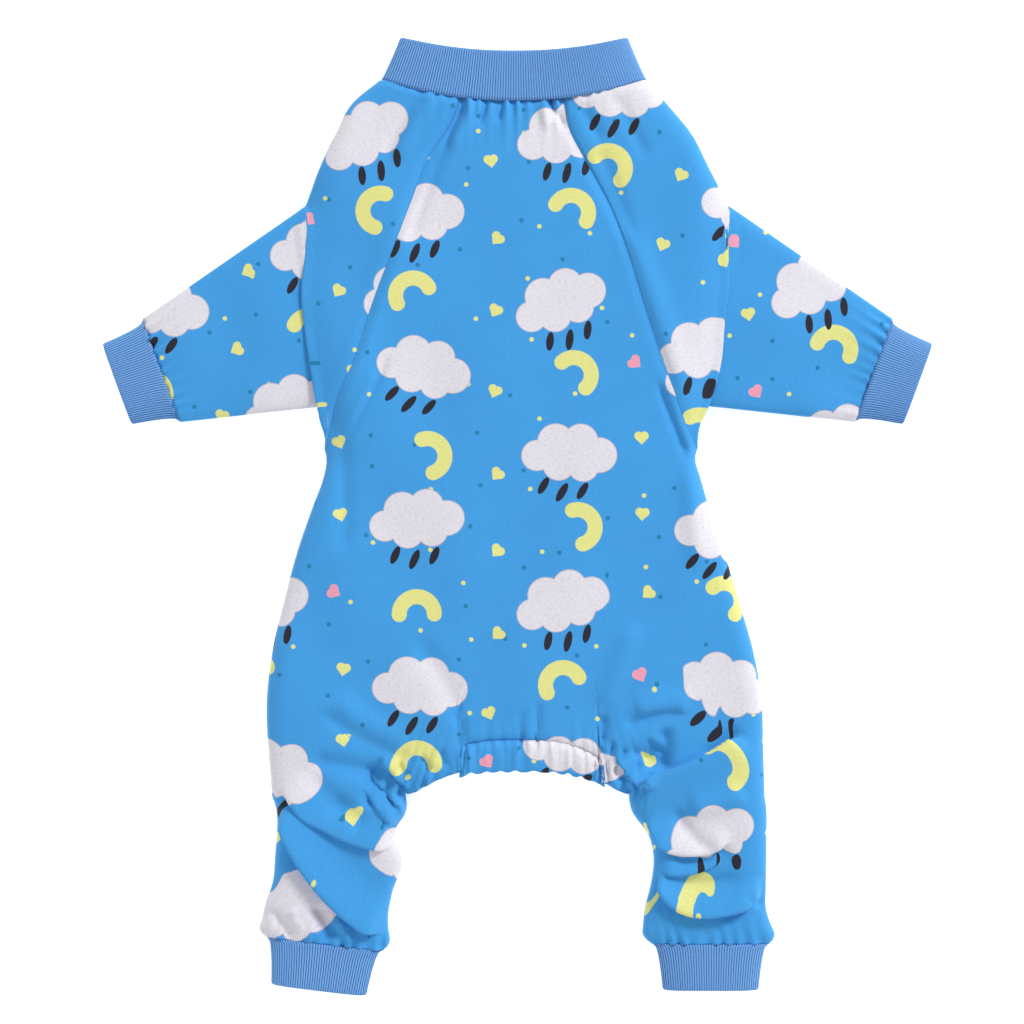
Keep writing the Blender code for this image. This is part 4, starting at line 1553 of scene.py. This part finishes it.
    def colour(self, nodes: Nodes, cloth: Socket) -> Socket:
        """Printed colour at a place on the cloth.

        Args:
            nodes: The node sheet.
            cloth: Socket of the place on the cloth in millimetres.

        Returns:
            Socket of the colour.
        """
        dots = (
            (self.teal_dots, self.teal_share, self.teal),
            (self.yellow_dots, self.yellow_share, self.yellow),
        )
        layers = []
        for lattice, share, ink in dots:
            local, chance = lattice.place(nodes, cloth)
            present = nodes.add(MATH, chance, share, operation="LESS_THAN")
            mask = self.edge(nodes, self.discs(nodes, local, (Motif(0.0, 0.0, self.dot_radius),)))
            layers.append((nodes.add(MATH, mask, present, operation="MULTIPLY"), ink))
        local, chance = self.hearts.place(nodes, cloth)
        heart = self.heart_mask(nodes, local)
        layers.append((heart, self.yellow))
        rosy = nodes.add(MATH, chance, self.blush_share, operation="LESS_THAN")
        layers.append((nodes.add(MATH, heart, rosy, operation="MULTIPLY"), self.blush))
        local, _ = self.arches.place(nodes, cloth)
        layers.append((self.arch_mask(nodes, local), self.yellow))
        local, _ = self.clouds.place(nodes, cloth)
        layers.append((self.rain_mask(nodes, local), self.rain))
        outline = self.discs(nodes, local, self.puffs)
        layers.append((self.edge(nodes, outline), self.cloud_edge))
        puff = nodes.add(MATH, outline, self.cloud_outline, operation="ADD")
        layers.append((self.edge(nodes, puff), self.cloud))
        wool = nodes.add("ShaderNodeTexNoise", cloth, None, 0.55, 2.0, 0.5, noise_dimensions="2D")
        wool = nodes.add("ShaderNodeMapRange", wool, 0.52, 0.72, 0.0, 0.75)
        inside = self.edge(nodes, nodes.add(MATH, outline, self.cloud_rim, operation="ADD"))
        layers.append((nodes.add(MATH, wool, inside, operation="MULTIPLY"), self.cloud_shade))
        colour = linear(self.ground)
        for mask, ink in layers:
            colour = nodes.add("ShaderNodeMixRGB", mask, colour, linear(ink))
        return colour

    def make(self) -> bpy.types.Material:
        """Make the material: the print, the uneven dye, and the wales and fuzz of the knit.

        Returns:
            The material.
        """
        nodes = Nodes(self.name)
        uv = nodes.add("ShaderNodeUVMap", uv_map="print")
        cloth = nodes.add(VECTOR, uv, (1.0 / MM, 1.0 / MM, 0.0), operation="MULTIPLY")
        colour = self.colour(nodes, cloth)
        if self.wrong_side:
            colour = nodes.add("ShaderNodeMixRGB", self.wrong_fade, colour, linear(self.wrong_pale))
        heather = nodes.add("ShaderNodeMapping", cloth, None, None, (0.5, 1.6, 1.0))
        heather = nodes.add("ShaderNodeTexNoise", heather, None, 1.0, 2.0, 0.6, noise_dimensions="2D")
        shade = nodes.add("ShaderNodeMapRange", heather, 0.3, 0.7, 0.93, 1.045)
        colour = nodes.add(VECTOR, colour, shade, operation="MULTIPLY")
        nodes.set("Base Color", colour)
        nodes.set("Roughness", self.roughness)
        nodes.set("Specular IOR Level", 0.25)
        nodes.set("Sheen Weight", 0.18)
        nodes.set("Sheen Roughness", 0.5)
        wales = nodes.add(VECTOR, cloth, (1.0 / self.wale_mm, 0.75 / self.wale_mm, 0.0), operation="MULTIPLY")
        wales = nodes.add("ShaderNodeTexWave", wales, 1.0, 0.9, 2.0, 0.6, 1.2, out=1)
        wales.node.bands_direction = "X"
        fuzz = nodes.add("ShaderNodeTexNoise", cloth, None, 1.4, 3.0, 0.7, noise_dimensions="2D")
        nap = nodes.add(MATH, wales, 0.45, fuzz, operation="MULTIPLY_ADD")
        bump = nodes.add("ShaderNodeBump", 0.35, 0.00012, 1.0, nap)
        nodes.set("Normal", bump)
        return nodes.material


@dataclass(frozen=True)
class RibKnit:
    """Cotton rib, knitted one by one: raised wales with furrows between them, coloured lighter on the crests
    as painted light and darker in the furrows as painted shade.
    """

    name: str = "cotton_rib_knit"
    # Colour of the rib crests: painted light on the tops of the ribs.
    crest: str = "#73A9E3"
    # Colour of the furrows: painted shade in the hollows between the ribs.
    furrow_shade: str = "#22539D"
    roughness: float = 0.9

    def make(self) -> bpy.types.Material:
        """Make the material. The ribs themselves are in the mesh; their colour adds painted light on the
        crests and painted shade in the furrows.

        Returns:
            The material.
        """
        nodes = Nodes(self.name)
        uv = nodes.add("ShaderNodeUVMap", uv_map="print")
        cloth = nodes.add(VECTOR, uv, (1.0 / MM, 1.0 / MM, 0.0), operation="MULTIPLY")
        parts = nodes.add("ShaderNodeSeparateXYZ", cloth)
        # One stripe per rib, stirred by noise: painted light on the crests, painted shade in the furrows.
        turn = nodes.add(MATH, parts, math.pi / RIB_PITCH_MM, operation="MULTIPLY")
        wave = nodes.add(MATH, nodes.add(MATH, turn, operation="COSINE"), operation="ABSOLUTE")
        noise = nodes.add("ShaderNodeTexNoise", cloth, None, 1.1, 3.0, 0.65, noise_dimensions="2D")
        lit = nodes.add(MATH, noise, 0.5, operation="SUBTRACT")
        lit = nodes.add(MATH, lit, 0.5, wave, operation="MULTIPLY_ADD")
        share = nodes.add("ShaderNodeMapRange", lit, 0.1, 0.8, 0.0, 1.0)
        # Blend from the painted shade of the furrows to the painted light of the crests.
        nodes.set("Base Color", nodes.add("ShaderNodeMixRGB", share, linear(self.furrow_shade), linear(self.crest)))
        nodes.set("Roughness", self.roughness)
        nodes.set("Specular IOR Level", 0.2)
        nodes.set("Sheen Weight", 0.2)
        nodes.set("Sheen Roughness", 0.5)
        stitch = nodes.add("ShaderNodeMapping", cloth, None, None, (1.4, 2.2, 1.0))
        stitch = nodes.add("ShaderNodeTexNoise", stitch, None, 1.0, 3.0, 0.7, noise_dimensions="2D")
        nodes.set("Normal", nodes.add("ShaderNodeBump", 0.4, 0.00015, 1.0, stitch))
        return nodes.material


# Floor, light and camera
class Lamp(NamedTuple):
    """A soft square lamp: its name, place and width in metres, and power in watts."""

    name: str
    place: tuple[float, float, float]
    size: float
    power: float


@dataclass
class Studio:
    """Plain pale floor, soft light and the camera straight above."""

    cut: Cut
    view_width: float = 0.5632
    view_centre: tuple[float, float] = (-0.0030, 0.0008)
    lens: float = 100.0
    sensor: float = 36.0
    floor: str = "#FFFFFF"
    floor_size: float = 8.0
    floor_glow: float = 0.55
    haze: tuple[float, float] = (0.22, 0.40)
    air_light: float = 0.43
    lamps: tuple[Lamp, ...] = (
        Lamp("key_softbox", (2.2, 2.3, 2.0), 1.0, 112.0),
        Lamp("fill_softbox", (-0.8, -1.4, 1.6), 1.4, 11.0),
    )

    def add_lamp(self, lamp: Lamp) -> None:
        """Add a soft square lamp that looks at the garment.

        Args:
            lamp: The lamp.
        """
        data = bpy.data.lights.new(lamp.name, "AREA")
        data.shape = "SQUARE"
        data.size = lamp.size
        data.energy = lamp.power
        light = bpy.data.objects.new(lamp.name, data)
        light.location = lamp.place
        light.rotation_euler = (-light.location).to_track_quat("-Z", "Y").to_euler()
        bpy.context.scene.collection.objects.link(light)

    def air(self) -> None:
        """White air all round the horizon, and softer light from above."""
        world = bpy.data.worlds.new("studio_air")
        world.use_nodes = True
        tree = world.node_tree
        place = tree.nodes.new("ShaderNodeTexCoord")
        height = tree.nodes.new("ShaderNodeSeparateXYZ")
        strength = tree.nodes.new("ShaderNodeMapRange")
        ramp = {"From Min": self.haze[0], "From Max": self.haze[1], "To Min": 1.0, "To Max": self.air_light}
        for name, value in ramp.items():
            strength.inputs[name].default_value = value
        tree.links.new(place.outputs["Generated"], height.inputs[0])
        tree.links.new(height.outputs["Z"], strength.inputs["Value"])
        tree.links.new(strength.outputs["Result"], tree.nodes["Background"].inputs["Strength"])
        tree.nodes["Background"].inputs["Color"].default_value = linear(self.floor)
        bpy.context.scene.world = world

    def make(self) -> None:
        """Set up the floor, the light and the camera."""
        bpy.ops.object.select_all(action="DESELECT")
        bpy.ops.mesh.primitive_plane_add(size=self.floor_size, location=(0.0, 0.0, 0.0))
        floor = bpy.context.object
        floor.name = "studio_floor"
        # Matt white paper without a highlight. Its own glow lifts it to pure white, as in the photograph.
        nodes = Nodes("matt_paper_floor")
        nodes.set("Base Color", linear(self.floor))
        nodes.set("Emission Color", linear(self.floor))
        nodes.set("Emission Strength", self.floor_glow)
        nodes.set("Roughness", 1.0)
        nodes.set("Specular IOR Level", 0.0)
        floor.data.materials.append(nodes.material)
        for lamp in self.lamps:
            self.add_lamp(lamp)
        self.air()
        bpy.context.scene.view_settings.view_transform = "Standard"
        data = bpy.data.cameras.new("photo_camera")
        data.lens = self.lens
        data.sensor_width = self.sensor
        camera = bpy.data.objects.new("photo_camera", data)
        height = self.view_width * self.lens / self.sensor + self.cut.hip_loft / 2.0
        camera.location = (*self.view_centre, height)
        bpy.context.scene.collection.objects.link(camera)
        bpy.context.scene.camera = camera


# Folds and creases, as they lie in the photograph
LAPS = (
    Lap(at(-128, 422), at(-110, 473), at(-68, 494), 0.0080, 0.0056, 0.020, 0.0058),
    Lap(at(-129, 411), at(-101, 444), at(-64, 444), 0.0050, 0.0028, 0.018, 0.0050),
    Lap(at(-108, 366), at(-88, 388), at(-60, 401), 0.0014, 0.0018, 0.016, 0.0060),
    Lap(at(-74, 398), at(-66, 404), at(-56, 417), 0.0030, 0.0027, 0.006, 0.0030),
    Lap(at(-80, 404), at(-71, 414), at(-62, 424), 0.0030, 0.0030, 0.007, 0.0034),
    Lap(at(-84, 410), at(-76, 424), at(-66, 434), 0.0022, 0.0022, 0.007, 0.0034),
    Lap(at(126, 387), at(101, 409), at(64, 415), 0.0062, 0.0048, 0.020, 0.0050),
    Lap(at(69, 431), at(83, 457), at(118, 440), 0.0046, 0.0034, 0.015, 0.0046),
    Lap(at(78, 458), at(96, 462), at(112, 450), 0.0032, 0.0026, 0.012, 0.0042),
    Lap(at(80, 460), at(86, 492), at(137, 470), 0.0062, 0.0050, 0.014, 0.0048),
    Lap(at(55, 395), at(60, 404), at(72, 410), 0.0030, 0.0027, 0.006, 0.0030),
    Lap(at(60, 402), at(66, 412), at(78, 418), 0.0024, 0.0022, 0.006, 0.0030),
    Lap(at(64, 372), at(78, 366), at(96, 370), 0.0016, 0.0020, 0.014, 0.0060),
)

RIDGES = (
    Ridge(at(-114, 399), at(-96, 402), at(-76, 406), -0.0033, 0.0050),
    Ridge(at(-80, 400), at(-72, 408), at(-66, 424), -0.0054, 0.0052),
    Ridge(at(-125, 480), at(-118, 488), at(-112, 499), 0.0030, 0.0034),
    Ridge(at(-112, 478), at(-106, 488), at(-102, 500), -0.0030, 0.0032),
    Ridge(at(-100, 486), at(-94, 492), at(-92, 502), 0.0024, 0.0028),
    Ridge(at(70, 402), at(74, 396), at(78, 390), -0.0054, 0.0056),
    Ridge(at(131, 482), at(136, 472), at(137, 460), -0.0033, 0.0034),
    Ridge(at(92, 424), at(108, 426), at(126, 416), 0.0027, 0.0060),
    Ridge(at(-34, 372), at(-30, 380), at(-30, 394), -0.0027, 0.0026),
    Ridge(at(48, 374), at(46, 382), at(47, 392), -0.0027, 0.0026),
    Ridge(at(-100, 205), at(-92, 250), at(-96, 290), -0.0018, 0.0050),
    Ridge(at(97, 210), at(92, 250), at(100, 300), 0.0021, 0.0060),
    Ridge(at(-98, 215), at(-84, 165), at(-56, 90), 0.0019, 0.0075),
    Ridge(at(94, 215), at(84, 160), at(50, 90), 0.0019, 0.0075),
    Ridge(at(-40, 60), at(-48, 84), at(-62, 120), -0.0018, 0.0040),
    Ridge(at(44, 62), at(52, 84), at(66, 118), -0.0018, 0.0040),
    Ridge(at(-58, 330), at(-40, 352), at(-30, 378), -0.0018, 0.0060),
    Ridge(at(66, 322), at(54, 350), at(47, 374), 0.0021, 0.0060),
    Ridge(at(-107, 368), at(-90, 388), at(-54, 400), -0.0026, 0.0042),
    Ridge(at(-100, 362), at(-84, 380), at(-58, 388), 0.0018, 0.0055),
    Ridge(at(-78, 401), at(-80, 412), at(-81, 427), -0.0038, 0.0036),
    Ridge(at(-102, 420), at(-92, 424), at(-82, 436), -0.0020, 0.0040),
    Ridge(at(-118, 400), at(-104, 418), at(-92, 432), -0.0016, 0.0050),
    Ridge(at(-122, 482), at(-117, 489), at(-113, 498), -0.0022, 0.0024),
    Ridge(at(-111, 480), at(-104, 488), at(-97, 499), -0.0024, 0.0024),
    Ridge(at(-136, 481), at(-130, 488), at(-124, 498), -0.0020, 0.0028),
    Ridge(at(56, 379), at(72, 378), at(92, 368), -0.0024, 0.0046),
    Ridge(at(80, 380), at(83, 394), at(79, 406), -0.0040, 0.0036),
    Ridge(at(60, 392), at(70, 400), at(84, 402), -0.0022, 0.0034),
    Ridge(at(88, 424), at(86, 440), at(112, 446), -0.0024, 0.0036),
    Ridge(at(84, 450), at(98, 456), at(120, 448), -0.0022, 0.0036),
    Ridge(at(80, 462), at(96, 472), at(124, 462), -0.0020, 0.0038),
    Ridge(at(122, 380), at(112, 392), at(100, 398), -0.0020, 0.0040),
    Ridge(at(130, 470), at(122, 480), at(112, 488), -0.0020, 0.0036),
    Ridge(at(-76, 182), at(-86, 206), at(-100, 232), 0.0016, 0.0040),
    Ridge(at(-70, 176), at(-82, 204), at(-99, 232), -0.0018, 0.0024),
    Ridge(at(76, 190), at(84, 212), at(94, 236), -0.0022, 0.0024),
    Ridge(at(82, 188), at(90, 210), at(96, 234), 0.0016, 0.0040),
    Ridge(at(2, 372), at(3, 380), at(1, 394), -0.0020, 0.0011),
    Ridge(at(12, 366), at(12, 378), at(10, 394), -0.0024, 0.0012),
    Ridge(at(46, 390), at(45, 398), at(41, 406), -0.0028, 0.0014),
    Ridge(at(53, 388), at(51, 397), at(47, 407), -0.0030, 0.0014),
    Ridge(at(60, 392), at(57, 400), at(51, 409), -0.0030, 0.0015),
    Ridge(at(68, 399), at(63, 405), at(56, 412), -0.0030, 0.0016),
    Ridge(at(-70, 402), at(-66, 408), at(-60, 415), -0.0030, 0.0015),
    Ridge(at(-65, 400), at(-61, 407), at(-56, 415), -0.0030, 0.0015),
    Ridge(at(-53, 397), at(-50, 401), at(-46, 407), -0.0026, 0.0016),
    Ridge(at(-42, 392), at(-41, 398), at(-38, 404), -0.0022, 0.0016),
    Ridge(at(-27, 36), at(-35, 52), at(-42, 68), -0.0024, 0.0024),
    Ridge(at(-22, 35), at(-30, 50), at(-36, 66), 0.0016, 0.0034),
    Ridge(at(-15, 36), at(-18, 42), at(-22, 52), -0.0020, 0.0018),
    Ridge(at(-7, 36), at(-8, 42), at(-11, 50), -0.0018, 0.0016),
    Ridge(at(10, 35), at(14, 44), at(18, 54), 0.0014, 0.0030),
    Ridge(at(16, 35), at(20, 42), at(27, 54), -0.0024, 0.0020),
    Ridge(at(31, 36), at(40, 48), at(47, 62), -0.0020, 0.0028),
    Ridge(at(-46, 32), at(-56, 50), at(-66, 72), 0.0014, 0.0036),
    Ridge(at(-52, 31), at(-64, 50), at(-74, 72), -0.0018, 0.0028),
    Ridge(at(52, 32), at(62, 50), at(72, 72), -0.0016, 0.0030),
)


# Building the garment
def band_between(centre: np.ndarray, direction: np.ndarray, width: float) -> tuple[np.ndarray, np.ndarray]:
    """Two ends of a band's edge in plan.

    Args:
        centre: Middle of the edge.
        direction: Unit step along the edge.
        width: Length of the edge.

    Returns:
        The two ends.
    """
    return centre - direction * width / 2.0, centre + direction * width / 2.0


def make_collar(cut: Cut, finish: bpy.types.Material) -> None:
    """Build the collar, whose two edges dip between the shoulders.

    Args:
        cut: The garment's cut.
        finish: The ribbed knit.
    """
    corners = tuple(cut.neck_corner(side) for side in Side)
    rise = cut.collar_depth - cut.collar_seam_dip + cut.collar_top_dip
    half_top = cut.collar_top_width / 2.0
    tops = tuple(np.array([cut.neck_offset + side.value * half_top, corners[0][1] + rise]) for side in Side)

    def bow(plan: np.ndarray, place: float) -> np.ndarray:
        """Bend a straight section to the dip of the collar.

        Args:
            plan: Plan points of the section.
            place: 0 at the seam, 1 at the outer edge.

        Returns:
            The bent plan points.
        """
        seam_y = cut.collar_seam(plan[:, 0])
        reach = np.abs(plan[:, 0] - cut.neck_offset) / half_top
        top_y = cut.seam_y + cut.collar_depth + cut.collar_top_dip * np.clip(reach, 0.0, 1.0) ** cut.dip_power
        return np.stack([plan[:, 0], lerp(seam_y, top_y, place)], axis=-1)

    RibBand("collar", corners, tops, cut.neck_loft + 2.0 * cut.floor_gap, COLLAR_FLAT, bow=bow).make(finish)


def make_front_cuff(drape: Drape, side: Side, finish: bpy.types.Material) -> None:
    """Build a front cuff at the end of its sleeve.

    Args:
        drape: How the garment lies.
        side: Which sleeve.
        finish: The ribbed knit.
    """
    cut = drape.cut
    sleeve = Sleeve(drape, side)
    middle = sleeve.corners()[3]
    axis = np.array([side.value * math.cos(cut.cuff_slope), -math.sin(cut.cuff_slope)])
    direction = sleeve.seam_direction()
    seam = band_between(middle, direction, cut.front_cuff_seam)
    top = band_between(middle + axis * cut.front_cuff_length, direction, cut.front_cuff_width)
    height = cut.front_cuff_loft + 2.0 * cut.floor_gap
    RibBand(side.word + "_front_cuff", seam, top, height, FRONT_CUFF_FLAT, CUFF_EASE).make(finish)


def make_hind_cuff(cut: Cut, side: Side, finish: bpy.types.Material) -> None:
    """Build a hind cuff at the end of its leg.

    Args:
        cut: The garment's cut.
        side: Which leg.
        finish: The ribbed knit.
    """
    outer, inner = cut.hind_seam(side, np.array([0.0, 1.0]))
    direction = (inner - outer) / np.linalg.norm(inner - outer)
    middle = (outer + inner) / 2.0
    lean = cut.hind_cuff_lean if side is Side.LEFT else 0.0
    top_middle = middle + np.array([lean, -cut.hind_cuff_length])
    seam = band_between(middle, direction, cut.hind_cuff_seam)
    top = band_between(top_middle, direction, cut.hind_cuff_width)
    height = cut.hind_cuff_loft + 2.0 * cut.floor_gap
    RibBand(side.word + "_hind_cuff", seam, top, height, HIND_CUFF_FLAT, CUFF_EASE).make(finish)


def main() -> None:
    """Build the garment and its studio."""
    logging.basicConfig(level=logging.INFO, format="%(message)s")
    cut = Cut()
    drape = Drape(cut, LAPS, RIDGES)
    Studio(cut).make()
    right_side = PrintedJersey().make()
    wrong_side = PrintedJersey(name="printed_cotton_jersey_wrong_side", wrong_side=True).make()
    rib = RibKnit().make()
    jersey = [right_side, wrong_side]
    Panel(drape, "back_panel", Layer.UPPER, cut.rear_arch, PANEL_FLAT, BACK_AREA).make(jersey)
    Panel(drape, "belly_panel", Layer.LOWER, cut.belly_arch, PANEL_FLAT, BELLY_AREA,
          leg_columns=22, rear_columns=30, armhole_rows=44, flank_rows=50, leg_rows=24).make(jersey)
    for side in Side:
        Sleeve(drape, side).make(jersey)
        make_front_cuff(drape, side, rib)
        make_hind_cuff(cut, side, rib)
    make_collar(cut, rib)
    RumpCasing(drape).make(right_side)


if __name__ == "__main__":
    main()
